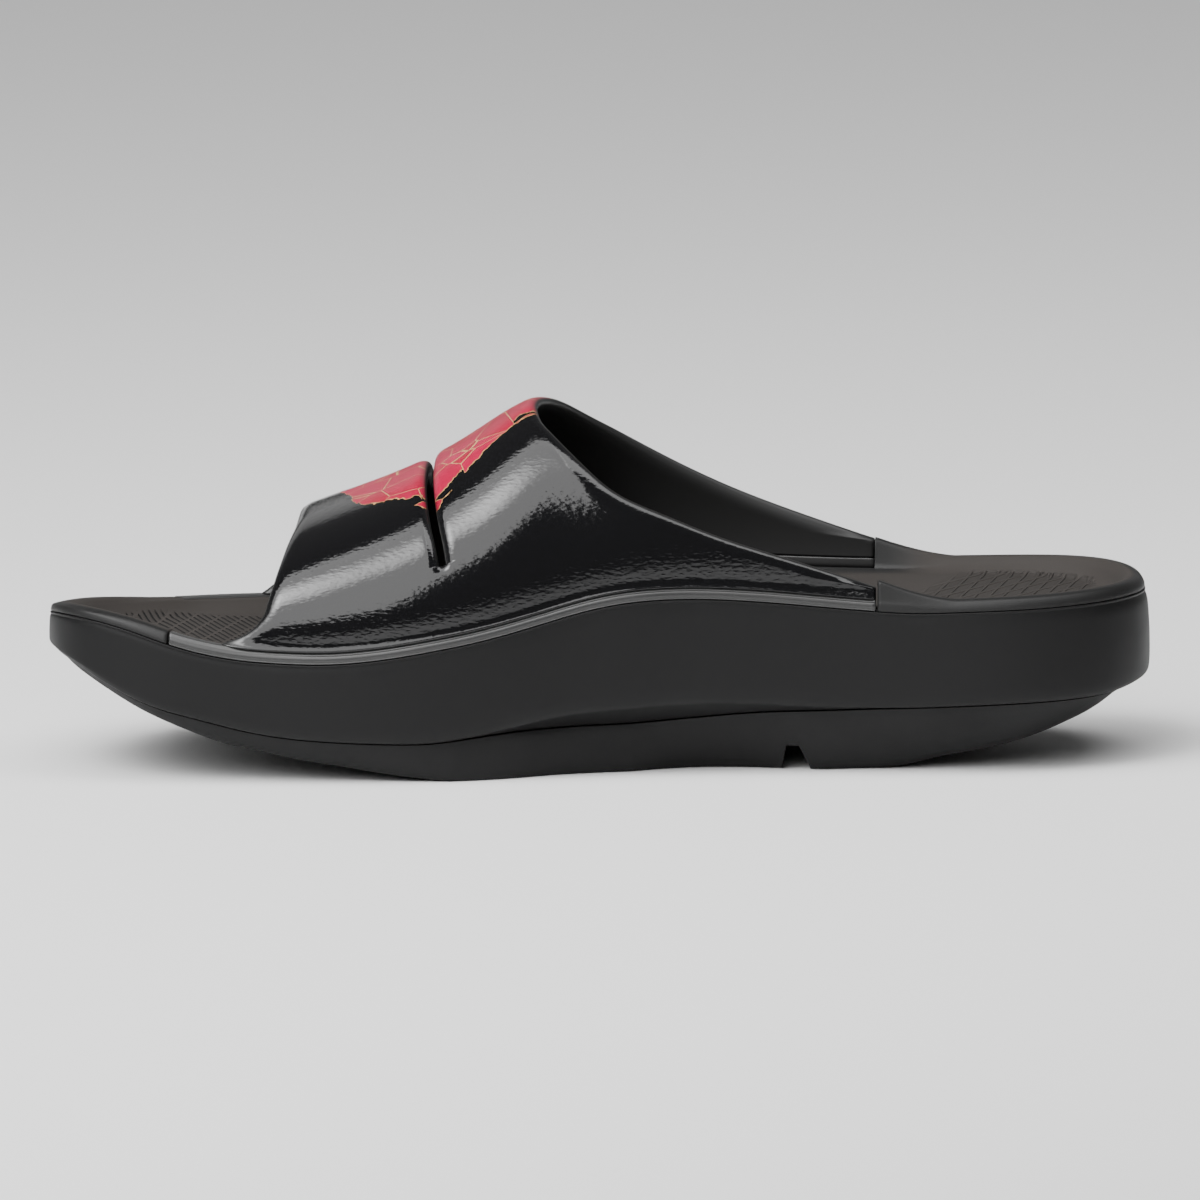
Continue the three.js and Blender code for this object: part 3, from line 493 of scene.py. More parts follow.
def skin_material(name, base, specular, roughness, depth, pebbles, fine, share):
    """A foam skin: one colour, the skin grain as bump, and a roughness that varies with the slow mottle."""
    material, tree, shader = new_material(name, base, roughness[0], specular)
    place = node(tree, "ShaderNodeTexCoord").outputs["Object"]
    grain = add_grain(tree, place, pebbles, fine, share)
    add_bump(tree, shader, grain["Height"], depth)
    feed(tree, shader["Roughness"], fade(tree, grain["Mottle"], *roughness))
    return material


FOAM_SKIN = dict(specular=0.22, roughness=(0.4, 0.6), depth=4e-6, pebbles=1500.0, fine=5200.0, share=0.5)
TREAD_SKIN = dict(specular=0.25, roughness=(0.5, 0.72), depth=2.2e-5, pebbles=1100.0, fine=3600.0, share=0.8)
BEAD_SKIN = dict(specular=0.6, roughness=(0.26, 0.42), depth=1.6e-5, pebbles=900.0, fine=4200.0, share=0.6)

# Film over the strap: its grain, drawn out along the shoe, and roughness of foam, film and what print adds
FILM_GRAIN = dict(pebbles=1500.0, fine=3200.0, share=0.3)
FILM_STRETCH, FILM_DEPTH = (0.42, 1.0, 1.0), 3.4e-5
LINING_ROUGH, FILM_ROUGH, PRINT_ROUGH = 0.48, 0.07, 0.22

# The print: a mosaic of cells, kept where its field is over PRINT_FROM; cells and veins shift that border
CELL_SCALE, VEIN_SCALE = 95.0, 420.0
PRINT_FROM, PRINT_BORDER, CELL_JOINT = 0.64, 0.01, 0.011
BORDER_BY_CELL, BORDER_BY_VEIN = 0.16, 0.12
TONE_BY_CELL, TONE_BY_VEIN, TONE_LESS = 0.5, 0.8, 0.25


def film_material(colours):
    """Film over the strap: glossy with a leather grain, foam where its field is 0, and a printed crest.

    The print is a mosaic of cells in reds and pinks with pale edges, kept inside the field that the strap's
    mesh carries.
    """
    material, tree, shader = new_material("strap film", colours.film, LINING_ROUGH, 0.5)
    place = node(tree, "ShaderNodeTexCoord").outputs["Object"]
    film = field(tree, "film")
    drawn_out = node(tree, "ShaderNodeMapping", {"Vector": place, "Scale": FILM_STRETCH}).outputs[0]
    grain = add_grain(tree, drawn_out, **FILM_GRAIN)
    add_bump(tree, shader, maths(tree, "MULTIPLY", grain["Height"], film), FILM_DEPTH)

    def cells(feature, output):
        inputs = {"Vector": place, "Scale": CELL_SCALE}
        return node(tree, "ShaderNodeTexVoronoi", inputs, feature=feature).outputs[output]

    tone = node(tree, "ShaderNodeSeparateColor", {"Color": cells("F1", "Color")}).outputs
    veins = node(tree, "ShaderNodeTexNoise", {"Vector": place, "Scale": VEIN_SCALE, "Detail": 4.0}).outputs["Fac"]
    torn = maths(tree, "MULTIPLY_ADD", veins, BORDER_BY_VEIN, field(tree, "print_field"))
    inside = maths(tree, "MULTIPLY_ADD", tone[0], BORDER_BY_CELL, torn)
    kept = maths(tree, "GREATER_THAN", inside, PRINT_FROM)
    border = maths(tree, "LESS_THAN", inside, PRINT_FROM + PRINT_BORDER)
    joint = maths(tree, "LESS_THAN", cells("DISTANCE_TO_EDGE", "Distance"), CELL_JOINT)
    shade = maths(tree, "MULTIPLY_ADD", veins, TONE_BY_VEIN, maths(tree, "MULTIPLY", tone[1], TONE_BY_CELL))
    light = maths(tree, "SUBTRACT", shade, TONE_LESS, clamp=True)
    reds = blend(tree, light, colours.print_red, colours.print_pink)
    mosaic = blend(tree, maths(tree, "MAXIMUM", border, joint), reds, colours.print_edge)
    plain = blend(tree, film, colours.lining, colours.film)
    printed = maths(tree, "MULTIPLY", kept, film)
    feed(tree, shader["Base Color"], blend(tree, printed, plain, mosaic))
    rough = fade(tree, film, LINING_ROUGH, FILM_ROUGH)
    feed(tree, shader["Roughness"], maths(tree, "MULTIPLY_ADD", printed, PRINT_ROUGH, rough))
    return material


# Pressed bars of the footbed: angle from the length in plan, period in millimetres, the bar's share of it, and
# the share that its soft side takes
TOE_DASHES, TOE_RIBS = (68.8, 2.0, 0.32, 0.06), (-74.0, 5.2, 0.16, 0.08)
HEEL_FIELDS, HEEL_RIBS = (-79.0, 3.4, 0.8, 0.12), (-55.0, 5.0, 0.22, 0.1)
FOOTBED_GRAIN = dict(pebbles=1800.0, fine=5200.0, share=0.6)
FOOTBED_ROUGH, RIM_ROUGH = 0.76, 0.5
PRESSED_DEPTH, GRAIN_IN_IT = 6e-4, 0.03
HEEL_SHADE, RIB_SHADE = 0.2, 0.4


def across_bars(angle, period):
    """Vector across bars that run at an angle from the length in plan, one unit to a period in millimetres.

    Positive angles lean to the arch side, -Y, on their way to the heel.
    """
    a = math.radians(angle)
    per_metre = 1e3 / period
    return (math.sin(a) * per_metre, math.cos(a) * per_metre, 0.0)


def footbed_material(colours):
    """Footbed: matte foam with pressed bars at toe and heel, their grooves darkened by painted shade; its rim is
    foam skin.

    A groove is there where its own bars are and the ribs that cross them aren't.
    """
    material, tree, shader = new_material("footbed foam", colours.footbed, FOOTBED_ROUGH, 0.3)
    place = node(tree, "ShaderNodeTexCoord").outputs["Object"]
    rim, at_toe, at_heel = (field(tree, name) for name in ("rim", "toe_texture", "heel_texture"))
    grain = add_grain(tree, place, **FOOTBED_GRAIN)

    def bars(angle, period, bar, soft):
        inputs = {"Vector": place, "Across": across_bars(angle, period), "Bar": bar, "Soft": soft}
        return node(tree, "ShaderNodeGroup", inputs, node_tree=bars_group()).outputs["Mask"]

    def pressed(grooves, ribs, where):
        between = maths(tree, "SUBTRACT", 1.0, ribs)
        return maths(tree, "MULTIPLY", maths(tree, "MULTIPLY", grooves, between), where)

    ribs = bars(*TOE_RIBS)
    toe = pressed(bars(*TOE_DASHES), ribs, at_toe)
    heel = pressed(bars(*HEEL_FIELDS), bars(*HEEL_RIBS), at_heel)
    on_ribs = maths(tree, "MULTIPLY", maths(tree, "MULTIPLY", ribs, at_toe), RIB_SHADE)
    light = blend(tree, on_ribs, colours.footbed, colours.footbed_rib)
    # painted shade in the grooves: the toe's dashes fully, the heel's fields at HEEL_SHADE
    shade = maths(tree, "MULTIPLY_ADD", heel, HEEL_SHADE, toe, clamp=True)
    dark = blend(tree, shade, light, colours.footbed_groove_shade)
    feed(tree, shader["Base Color"], blend(tree, rim, dark, colours.lining))
    feed(tree, shader["Roughness"], fade(tree, rim, FOOTBED_ROUGH, RIM_ROUGH))
    groove = maths(tree, "MULTIPLY", maths(tree, "ADD", toe, heel, clamp=True), -1.0)
    add_bump(tree, shader, maths(tree, "MULTIPLY_ADD", grain["Height"], GRAIN_IN_IT, groove), PRESSED_DEPTH)
    return material


# Footbed, sidewall and tread

def ring_places(count, seams=()):
    """Even places round the ring, with close pairs added at each seam's share on both sides."""
    even = np.arange(count) / count * 2 - 1
    extra = [sign * turn for turn in seams for sign in (-1, 1)]
    return np.unique(np.round(np.concatenate((even, extra)), 9))


def wing_at(share):
    """Share of the wing's rise behind the rear seam."""
    past = (share - REAR_SEAM) * RING["length"] / WING_LENGTH
    return np.where(past < 0, 0.0, np.clip(1 - past, 0, 1) ** 1.4)


def floor_of(f):
    """Height of the footbed's middle, raised a little under the heel."""
    return f["floor"] + HEEL_SEAT_RISE * smooth_step(0.62, 0.8, f["share"])


def footbed_points(f, strap_wall):
    """Footbed sections: cupped floor, then the rim at toe and heel or a plain side inside the strap.

    Near a seam the rim's section is drawn back along a quarter ellipse, so that its end is rounded.
    """
    flange = STRAP_INSET + strap_wall
    bed = flange + FLANGE_GAP
    share, part = f["share"], f["part"]
    wing = wing_at(share)
    outer_toe = smooth_step(0.02, 0.12, f["place"]) * (share < 0.5)
    bead = part + mix(RIM_RISE * 0.8, 2.8, np.clip(wing * 2, 0, 1))
    length = RING["length"]
    from_front = (FRONT_SEAM - share) * length - PIECE_GAP / 2
    from_rear = (share - REAR_SEAM) * length - PIECE_GAP / 2
    off_seam = np.where(share < 0.5, from_front, from_rear)
    rimmed = off_seam > 0
    by_flange = smooth_step(SEAM_TOP_RUN, 0, from_front)
    top = part + RIM_RISE + WING_RISE * wing + np.maximum(TOE_TOP_RISE * outer_toe, SEAM_TOP_RISE * by_flange)
    past_seam = smooth_step(SINK_FROM, SINK_TO, -from_front)
    flush = SEAM_LIP_RISE * smooth_step(SEAM_LIP_RUN, 0, from_front)
    opened = np.where(rimmed, 1 - np.clip(wing * 2, 0, 1), np.where(share < 0.5, 1 - past_seam, 0.0))
    lip = part + mix(CREASE_RISE, RIM_RISE * 0.6 + np.where(share < 0.5, flush, 0), opened)
    under = part + 0.12
    bottom = part - LEDGE_DEPTH + PIECE_GAP
    ks = np.linspace(1, 0, 26)[:-1] ** 1.25
    off_toe = smooth_step(0.02, 0.13, share)
    run_in, power = mix(0.6, 0.2, off_toe), mix(1.8, 2.2, off_toe)
    floor = [ring_point(f, bed + 0.8, k, mix(lip, floor_of(f), cup(np.minimum(1, k / run_in), power)))
             for k in ks]
    edge_lip = ring_point(f, bed + 0.8, 0, lip)

    def at(inset, z):
        return ring_point(f, inset, 0, z)

    rim = [edge_lip, at(4.1, mix(top - 0.25, top, opened)), at(2.4, top), at(1.1, top - 0.3),
           at(0.35, np.minimum(bead, top - 0.5)), at(0.0, bead - 0.9), at(0.0, under + 0.16), at(0.2, under),
           at(bed, under)]
    side = [edge_lip] + [at(bed + 0.15 * (i == 1), mix(lip, under, d))
                         for i, d in enumerate((0.15, 0.3, 0.45, 0.58, 0.7, 0.8, 0.9, 1.0), start=1)]
    far_rear = (f["place"] > 0) & (share > 0.5)
    rounded = rounding(off_seam, np.where(far_rear, 0.3, 0.9), np.where(far_rear, 0.04, 0.16))
    drawn = np.where(rimmed, rounded, 1.0)[:, None]
    corners = [mix(a, b, drawn) for a, b in zip(rim, side)]
    run = profile(corners, (0, 1.3, 0.8, 0.8, 0.5, 0.7, 0.1, 0.1, 0), (2, 1, 1, 1, 1, 2, 1, 1))
    below = [ring_point(f, bed + 0.1, k, mix(bottom, f["floor"] - INSOLE_THICKNESS, cup(k)))
             for k in (0, 0.14, 0.42, 1)]
    points = np.concatenate((np.stack(floor), run, np.stack(below)))
    return points, len(floor)


def footbed_fields(points, f, floor_count):
    """Fields on the footbed: the rim's skin, and where the toe and heel textures are pressed in."""
    from_edge = np.hypot(points[..., 0] - f["x"], points[..., 1] - f["y"])
    along_wing = smooth_step(0.81, 0.765, f["share"]) * (f["share"] > 0.5)
    rim = np.maximum(smooth_step(3.2, 2.2, from_edge), along_wing * smooth_step(12, 7, from_edge))
    x = points[..., 0] + RING["length"] / 2
    far = f["place"] > 0
    inner = np.arange(len(points))[:, None] < floor_count

    def pressed(margin, start, start_run, end, end_run):
        """1 inside a margin from the edge and between two places along the shoe, each with its soft run."""
        along = smooth_step(0, 0.8, from_edge - margin) * smooth_step(0, start_run, x - start)
        return along * smooth_step(0, end_run, end - x) * inner

    toe_margin = np.where(far, mix(8.5, 12.5, smooth_step(22, 48, x)), 9.5)
    heel_start = 213 + 0.42 * np.maximum(0, points[..., 1] - 5)
    return {"rim": rim, "toe_texture": pressed(toe_margin, 15.5, 1, 104, 4),
            "heel_texture": pressed(np.where(far, 8.0, 22.0), heel_start, 7, 257, 1)}


def rocker_at(x):
    """Height over x of the tread's underside, without the groove."""
    share = np.clip(x / RING["length"] + 0.5, 0, 1)
    return np.maximum(0, hermite(TREAD_ROWS[:, 0], TREAD_ROWS[:, 1], share)) * RING["height"]


def underside_at(x):
    """Height of the tread's underside over x, with the groove before the heel."""
    share = np.clip(x / RING["length"] + 0.5, 0, 1)
    into = np.minimum((share - NOTCH[0]) / (NOTCH[1] - NOTCH[0]), (NOTCH[3] - share) / (NOTCH[3] - NOTCH[2]))
    return rocker_at(x) + NOTCH_DEPTH * np.clip(into, 0, 1)


def seat_of(f):
    """Inset, height of the edge and height inside it of the face between sidewall body and tread."""
    inset = f["tuck"] + TREAD_STEP
    edge = f["step"] - TUCK_FALL * (f["tuck"] - 1.0)

    def height(k):
        return lambda x: np.maximum(mix(edge, f["core"], cup(k)), underside_at(x) + TREAD_THIN)

    return inset, edge, height


def sidewall_points(f, strap_wall):
    """Sidewall sections: recess for the footbed, ledge, parting lip, swelling wall, edge over the tread."""
    flange = STRAP_INSET + strap_wall
    part, step = f["part"], f["step"]
    inset, edge, seat = seat_of(f)
    tall = part - step
    bulge = WALL_BULGE + HEEL_BULGE * smooth_step(HEEL_BULGE_AT, 1, f["share"])
    middle = f["floor"] - INSOLE_THICKNESS - PIECE_GAP

    def at(inset, z):
        return ring_point(f, inset, 0, z)

    hollow = [ring_point(f, flange, k, mix(part - LEDGE_DEPTH, middle, cup(k))) for k in (1, 0.42, 0.14)]
    corners = [at(flange, part - LEDGE_DEPTH), at(flange, part), at(0.4, part + 0.02), at(-0.12, part - 0.05),
               at(-0.18, part - 0.32), at(0.12, part - 0.62)]
    radii = [0, 0, 0.2, 0.16, 0.2, 0.25]
    spans = [0, 1, 1, 0, 0]
    for down in (0.12, 0.3, 0.5, 0.72, 0.88):
        swell = np.sin(np.pi * (0.08 + 0.62 * down)) ** 0.8
        corners.append(at(-bulge * swell, part - tall * down))
        radii.append(1.6)
        spans.append(2)
    corners += [at(WALL_BULGE - bulge, step + 1.0), at(0.75, step), at(inset, edge)]
    radii += [0.7, 0.6, 0]
    spans += [2, 0, 4]
    run = profile(corners, radii, spans)
    below = [ring_point(f, inset, k, seat(k)) for k in (0.15, 0.5, 1)]
    return np.concatenate((np.stack(hollow), run, np.stack(below)))


def tread_points(f):
    """Tread sections: top under the sidewall, side running in to its foot, flat underside with a groove."""
    inset, edge, seat = seat_of(f)
    top = edge - PIECE_GAP
    foot = np.maximum(f["tread_inset"], inset + 1)
    ends = np.clip(np.minimum(f["share"] - TOE_SPINE, HEEL_SPINE - f["share"]) / TREAD_BLEND, 0, 1)

    def at(in_by, k, z):
        point = ring_point(f, in_by, k, 0.0)
        point[:, 0] = mix(point[:, 0], f["x"], ends)
        point[:, 2] = z(point[:, 0])
        return point

    above = [ring_point(f, inset, k, lambda x, k=k: seat(k)(x) - PIECE_GAP) for k in (1, 0.5, 0.15)]
    edge_point = ring_point(f, inset, 0, top)
    side = [at(mix(inset, foot, a), 0, lambda x, b=b: np.maximum(mix(top, rocker_at(x), b), underside_at(x)))
            for a, b in ((0.06, 0.12), (0.3, 0.45), (0.5, 0.66), (0.75, 0.88))]
    corners = [above[-1], edge_point, *side, at(foot, 0, underside_at), at(foot, 0.12, underside_at)]
    run = profile(corners, (0, 0.25, 1.5, 1.5, 1.5, 0.8, 0.6, 0), (1, 2, 3, 2, 1, 1, 2))
    below = [at(foot, k, underside_at) for k in (0.25, 0.4, 0.55, 0.7, 0.85, 1)]
    return np.concatenate((np.stack(above[:-1]), run, np.stack(below)))


# Strap and its flange

def rear_end(side):
    """Share of the length where the strap and its flange end; the outer side's seam is nearly closed."""
    return REAR_SEAM + np.where(side > 0, 0.8, -1.0) * PIECE_GAP / 2 / RING["length"]


class StrapShape:
    """Outer face of the strap: a superellipse from bead to crest at each share of the length."""

    def __init__(self, sizes):
        self.height = sizes.strap_height * 1e3
        self.wall = sizes.strap_wall * 1e3
        self.bead = sizes.bead_height * 1e3
        rows, outline = STRAP_ROWS.T, OUTLINE_ROWS.T
        self.crest = fair_curve(rows[0], rows[1], 0.02)
        self.exponent = fair_curve(rows[0], rows[2], 0.035)
        self.front = fair_curve(outline[0], outline[1], 0.03)
        self.rear = fair_curve(outline[0], outline[2], 0.03)
        self.slot = fair_curve(outline[0], outline[3], 0.05)

    def face(self, share, over):
        """Points at shares of the length and places over the strap, from 0 through the crest, 1, to 2."""
        side = np.where(over <= 1, -1.0, 1.0)
        up = np.where(over <= 1, over, 2 - over)
        f = ring_frame(side * turn_at(share))
        power = 2 / self.exponent(share)
        angle = up * np.pi / 2
        foot = f["y"] - side * STRAP_INSET
        base = f["part"] + self.bead
        across = mix(-CREST_OFFSET, foot, np.abs(np.cos(angle)) ** power)
        z = mix(base, self.height * self.crest(share), np.abs(np.sin(angle)) ** power)
        return np.stack((RING["length"] * (share - 0.5), across, z), -1)

    def normal(self, share, over):
        """Outward normals by central differences."""
        low, high = np.clip(over - 0.004, 0, 2), np.clip(over + 0.004, 0, 2)
        along = self.face(share + 0.001, over) - self.face(share - 0.001, over)
        rise = self.face(share, high) - self.face(share, low)
        cross = np.cross(along, rise)
        return cross / np.linalg.norm(cross, axis=-1, keepdims=True)


EDGE_WIDTH, SEAM_WIDTH = 3.6, 1.0
SLOT_LIP = 2.6
FRONT_ROWS, REAR_ROWS, ROUND_ROWS, LIP_ROWS = 30, 66, 9, 9


def strap_columns():
    """Places over the strap, closer together at the beads and at the slot's two ends."""
    foot = np.linspace(0, 0.05, 12)[:-1]
    low = np.linspace(0.05, SLOT_END - 0.035, 26)[:-1]
    end = np.linspace(SLOT_END - 0.035, SLOT_END + 0.01, 28)[:-1]
    high = np.linspace(SLOT_END + 0.01, 1, 84)[:-1]
    half = np.concatenate((foot, low, end, high))
    return np.concatenate((half, (1.0,), 2 - half[::-1]))


def strap_rows(shape, over, slot_width):
    """Lengthwise places of each column's rows in shares, with its free edges, slot and half slot width."""
    length = RING["length"]
    front = shape.front(over)
    seam = rear_end(over - 1)
    rear_free = shape.rear(over)
    rear = np.minimum(seam, rear_free)
    up = np.where(over <= 1, over, 2 - over)
    slot = shape.slot(over)

    def sine(edge):
        run = np.gradient(shape.face(edge, over), axis=0)
        return np.clip(np.hypot(run[:, 1], run[:, 2]) / np.linalg.norm(run, axis=1), 0.25, 1)

    front_sine, rear_sine = sine(front), sine(rear)
    rear_width = mix(SEAM_WIDTH, EDGE_WIDTH, smooth_step(0, 0.02, seam - rear_free))
    past_end = np.clip((SLOT_END + 0.006 - up) / 0.006, 0, 1)
    half = slot_width / 2 / length * np.sqrt(np.clip(1 - past_end**2, 0.02, 1))
    easing = (1 - np.cos(np.linspace(0, np.pi / 2, ROUND_ROWS)))[:, None]
    front_rows = front + EDGE_WIDTH / length / front_sine * easing
    rear_rows = (rear - rear_width / length / rear_sine * easing)[::-1]
    lips = np.linspace(1, 0, LIP_ROWS)[:, None] ** 1.6 * SLOT_LIP / length
    before, after = slot - half - lips, (slot + half + lips)[::-1]

    def between(a, b, count):
        return mix(a, b, (np.arange(1, count + 1) / (count + 1))[:, None])

    rows = np.concatenate((front_rows, between(front_rows[-1], before[0], FRONT_ROWS), before, after,
                           between(after[-1], rear_rows[0], REAR_ROWS), rear_rows))
    from_front = (rows - front) * length * front_sine / EDGE_WIDTH
    from_rear = (rear - rows) * length * rear_sine / rear_width
    return rows, from_front, from_rear, slot, half, up


def strap_lattice(shape, slot_width):
    """Outer and inner points of the strap, the fields of film and print, and each column's share up its side."""
    over = strap_columns()
    rows, from_front, from_rear, slot, half, up = strap_rows(shape, over, slot_width)
    overs = np.broadcast_to(over, rows.shape)
    outer = shape.face(rows, overs)
    normal = shape.normal(rows, overs)
    inner = outer - normal * shape.wall
    length = RING["length"]
    depth = shape.wall * ROUND_SHARE
    slot_foot = shape.face(slot, np.where(over <= 1, SLOT_END, 2 - SLOT_END))
    past_end = np.where(up < SLOT_END, np.linalg.norm(shape.face(slot, over) - slot_foot, axis=1), 0.0)
    off_slot = np.hypot(np.maximum(0, np.abs(rows - slot) - half) * length, past_end)
    draw = np.maximum(rounding(np.minimum(from_front, from_rear), 1.0, depth), rounding(off_slot, SLOT_LIP, depth))
    rise = outer[..., 2] - (ring_part(rows, overs) + shape.bead)
    flare = np.where(np.minimum(overs, 2 - overs) < 0.5, rounding(rise, FLARE_RISE, FLARE), 0.0)
    outer = outer + normal * (flare - draw)[..., None]
    inner = inner + normal * draw[..., None]

    film = np.clip(FILM_WHOLE - FILM_FALL * draw / depth, 0, 1)
    return outer, inner, film, crest_field(rows, overs), up


def ring_part(share, over):
    """Height of the parting line beside a point of the strap."""
    return np.interp(np.where(over <= 1, -1.0, 1.0) * turn_at(share), RING["place"], RING["part"], period=2)


# Borders of the print: shares of the sole's length, and the places over the strap where it starts and ends
PRINT_STARTS = ((0.262, 0.285, 0.335, 0.35, 0.385, 0.43), (1.2, 0.84, 0.70, 0.60, 0.74, 0.86))
PRINT_ENDS = ((0.26, 0.30, 0.335, 0.35, 0.385, 0.43), (1.10, 1.30, 1.38, 1.40, 1.30, 1.22))


def crest_field(share, over):
    """Field that is over a half where the crest is printed, rising with the distance inside its borders."""
    low, high = np.interp(share, *PRINT_STARTS), np.interp(share, *PRINT_ENDS)
    inside = np.minimum(over - low, high - over)
    return 0.5 + np.clip(inside, -0.3, 0.3) * 1.6


def strap_faces(rows, columns, up):
    """Quads of both faces of the strap and of the walls that join them round its edges and slot."""
    slot_row = ROUND_ROWS + FRONT_ROWS + LIP_ROWS - 1
    present = np.ones((rows - 1, columns - 1), bool)
    present[slot_row] = ~((up[:-1] >= SLOT_END) & (up[1:] >= SLOT_END))
    r, c = np.nonzero(present)
    near, far = r * columns + c, (r + 1) * columns + c
    corner = np.stack((near, near + 1, far + 1, far), -1)
    sheet = rows * columns
    faces = [corner, corner[:, ::-1] + sheet]
    padded = np.zeros((rows + 1, columns + 1), bool)
    padded[1:-1, 1:-1] = present
    for shift, (i, j) in (((-1, 0), (0, 1)), ((0, 1), (1, 2)), ((1, 0), (2, 3)), ((0, -1), (3, 0))):
        open_side = ~padded[r + 1 + shift[0], c + 1 + shift[1]]
        a, b = corner[open_side, i], corner[open_side, j]
        faces.append(np.stack((b, a, a + sheet, b + sheet), -1))
    return np.concatenate(faces)


def flange_points(shape, side):
    """Flange of one side: a bead with a bevel and a fine groove over it, swept between the two seams.

    The section is a closed profile of insets and rises over the parting line; at each end it is drawn
    towards its own middle along a quarter ellipse.
    """
    length = RING["length"]
    first = turn_at(FRONT_SEAM + PIECE_GAP / 2 / length)
    last = turn_at(rear_end(side))
    t = np.linspace(0, 1, FLANGE_PLACES)
    turns = first + (last - first) * t
    ends = np.array((0, 0.002, 0.006, 0.012))
    turns = np.unique(np.concatenate((turns, first + ends * 0.05, last - ends * 0.05)))
    f = ring_frame(side * turns)
    flange = STRAP_INSET + shape.wall

    def at(inset, rise):
        return ring_point(f, inset, 0, f["part"] + rise)

    fine = smooth_step(48, 66, f["share"] * length)
    corners = [at(flange, 1.5), at(flange, 2.85), at(3.6, 3.1), at(1.4, 3.15), at(1.05, 3.08), at(0.34, 2.36),
               at(mix(0.27, 0.5, fine), 2.2), at(0.2, 1.98), at(0.0, 1.5), at(0.0, 0.9), at(0.16, 0.52),
               at(-0.1, 0.36), at(0.25, 0.14), at(flange, 0.14), at(flange, 1.5)]
    radii = (0, 0.3, 0.5, 0.2, 0.2, 0.12, 0.08, 0.3, 0.5, 0.45, 0.15, 0.1, 0.1, 0, 0)
    run = profile(corners, radii, (0, 2, 2, 0, 1, 0, 0, 1, 1, 1, 0, 0, 2, 0), steps=3)
    middle = ring_point(f, flange / 2, 0, f["part"] + 1.5)
    along = np.minimum(f["share"] - share_at(first), share_at(last) - f["share"]) * length
    drawn = rounding(along, 0.7, 0.3)[:, None]
    run = mix(run, middle, drawn)
    # each end closes on its middle
    run[:, 0] = middle[0]
    run[:, -1] = middle[-1]
    return run


# Properties

def length_property(name, text, default):
    """A length in metres with its label and description."""
    return FloatProperty(name=name, description=text, default=default, unit="LENGTH", precision=4)


def colour_property(name, text, default):
    """A linear colour with its label and description."""
    return FloatVectorProperty(name=name, description=text, default=(*default, 1.0), size=4, subtype="COLOR",
                               min=0, max=1)


class SlideSizes(bpy.types.PropertyGroup):
    """Sizes of the sandal."""

    sole_length: length_property("Sole length", "Rim outline from toe tip to heel", 0.269)
    ball_width: length_property("Ball width", "Greatest half widths of both sides together", 0.1)
    rim_height: length_property("Rim height", "Floor to the heel's parting line", 0.04)
    strap_height: length_property("Strap height", "Floor to the crest of the strap's rear edge", 0.09)
    strap_wall: length_property("Strap wall", "Thickness of the strap", 0.0036)
    bead_height: length_property("Bead height", "Height of the bead along the strap's foot", 0.0031)
    slot_width: length_property("Slot width", "Width of the slot across the strap", 0.0018)
    floor_size: length_property("Floor size", "Side of the square floor", 12.0)


class SlideColours(bpy.types.PropertyGroup):
    """Colours of the sandal and its floor."""

    film: colour_property("Film", "Glossy film over the strap", (0.004, 0.004, 0.0045))
    lining: colour_property("Lining", "Satin foam inside the strap and over the footbed's rim", (0.01, 0.01, 0.01))
    foam: colour_property("Foam", "Sidewall, beads and the strap's inner face", (0.0056, 0.0056, 0.0058))
    bead: colour_property("Beads", "Beads along the strap's feet", (0.02, 0.02, 0.02))
    tread: colour_property("Tread", "Tread layer", (0.0056, 0.0056, 0.0058))
    footbed: colour_property("Footbed", "Matte floor under the foot", (0.029, 0.0252, 0.0228))
    footbed_rib: colour_property("Footbed ribs", "Flat ribs that cross the toe's texture", (0.040, 0.034, 0.031))
    # painted shade: the colour that the grooves of the pressed texture are darkened towards
    footbed_groove_shade: colour_property("Footbed grooves", "Bottom of the pressed texture", (0.0025, 0.0022, 0.002))
    print_red: colour_property("Print, red", "Darker tone of the crest's mosaic", (0.30, 0.0005, 0.018))
    print_pink: colour_property("Print, pink", "Lighter tone of the crest's mosaic", (0.46, 0.004, 0.06))
    print_edge: colour_property("Print, edge", "Pale line round each pebble of the mosaic", (0.50, 0.28, 0.11))
    floor: colour_property("Floor", "Plain pale floor", (0.82, 0.82, 0.82))


# Operators

class SLIDE_OT_footbed(bpy.types.Operator):
    """Build the footbed with its rim"""

    bl_idname = "slide.footbed"
    bl_label = "Footbed"

    def execute(self, context):
        sizes = context.scene.slide_sizes
        build_ring(sizes)
        length = RING["length"]
        near = np.array((-0.02, 0.02, 0.08, 0.18, 0.3, 0.45, 0.62, 0.8, 1.0, 1.25)) + PIECE_GAP / 2
        seams = [*turn_at(FRONT_SEAM - near / length), *turn_at(REAR_SEAM + near / length)]
        f = ring_frame(ring_places(FOOTBED_PLACES, seams))
        points, floor_count = footbed_points(f, sizes.strap_wall * 1e3)
        add_piece("footbed_dressed", points, lattice_faces(*points.shape[:2], True),
                  footbed_material(context.scene.slide_colours), "footbed",
                  footbed_fields(points, f, floor_count))
        return {"FINISHED"}


class SLIDE_OT_sidewall(bpy.types.Operator):
    """Build the sidewall body with its parting lip"""

    bl_idname = "slide.sidewall"
    bl_label = "Sidewall"

    def execute(self, context):
        sizes = context.scene.slide_sizes
        build_ring(sizes)
        points = sidewall_points(ring_frame(ring_places(SOLE_PLACES)), sizes.strap_wall * 1e3)
        foam = skin_material("sidewall foam", context.scene.slide_colours.foam, **FOAM_SKIN)
        add_piece("sidewall", points, lattice_faces(*points.shape[:2], True), foam, "midsole")
        return {"FINISHED"}


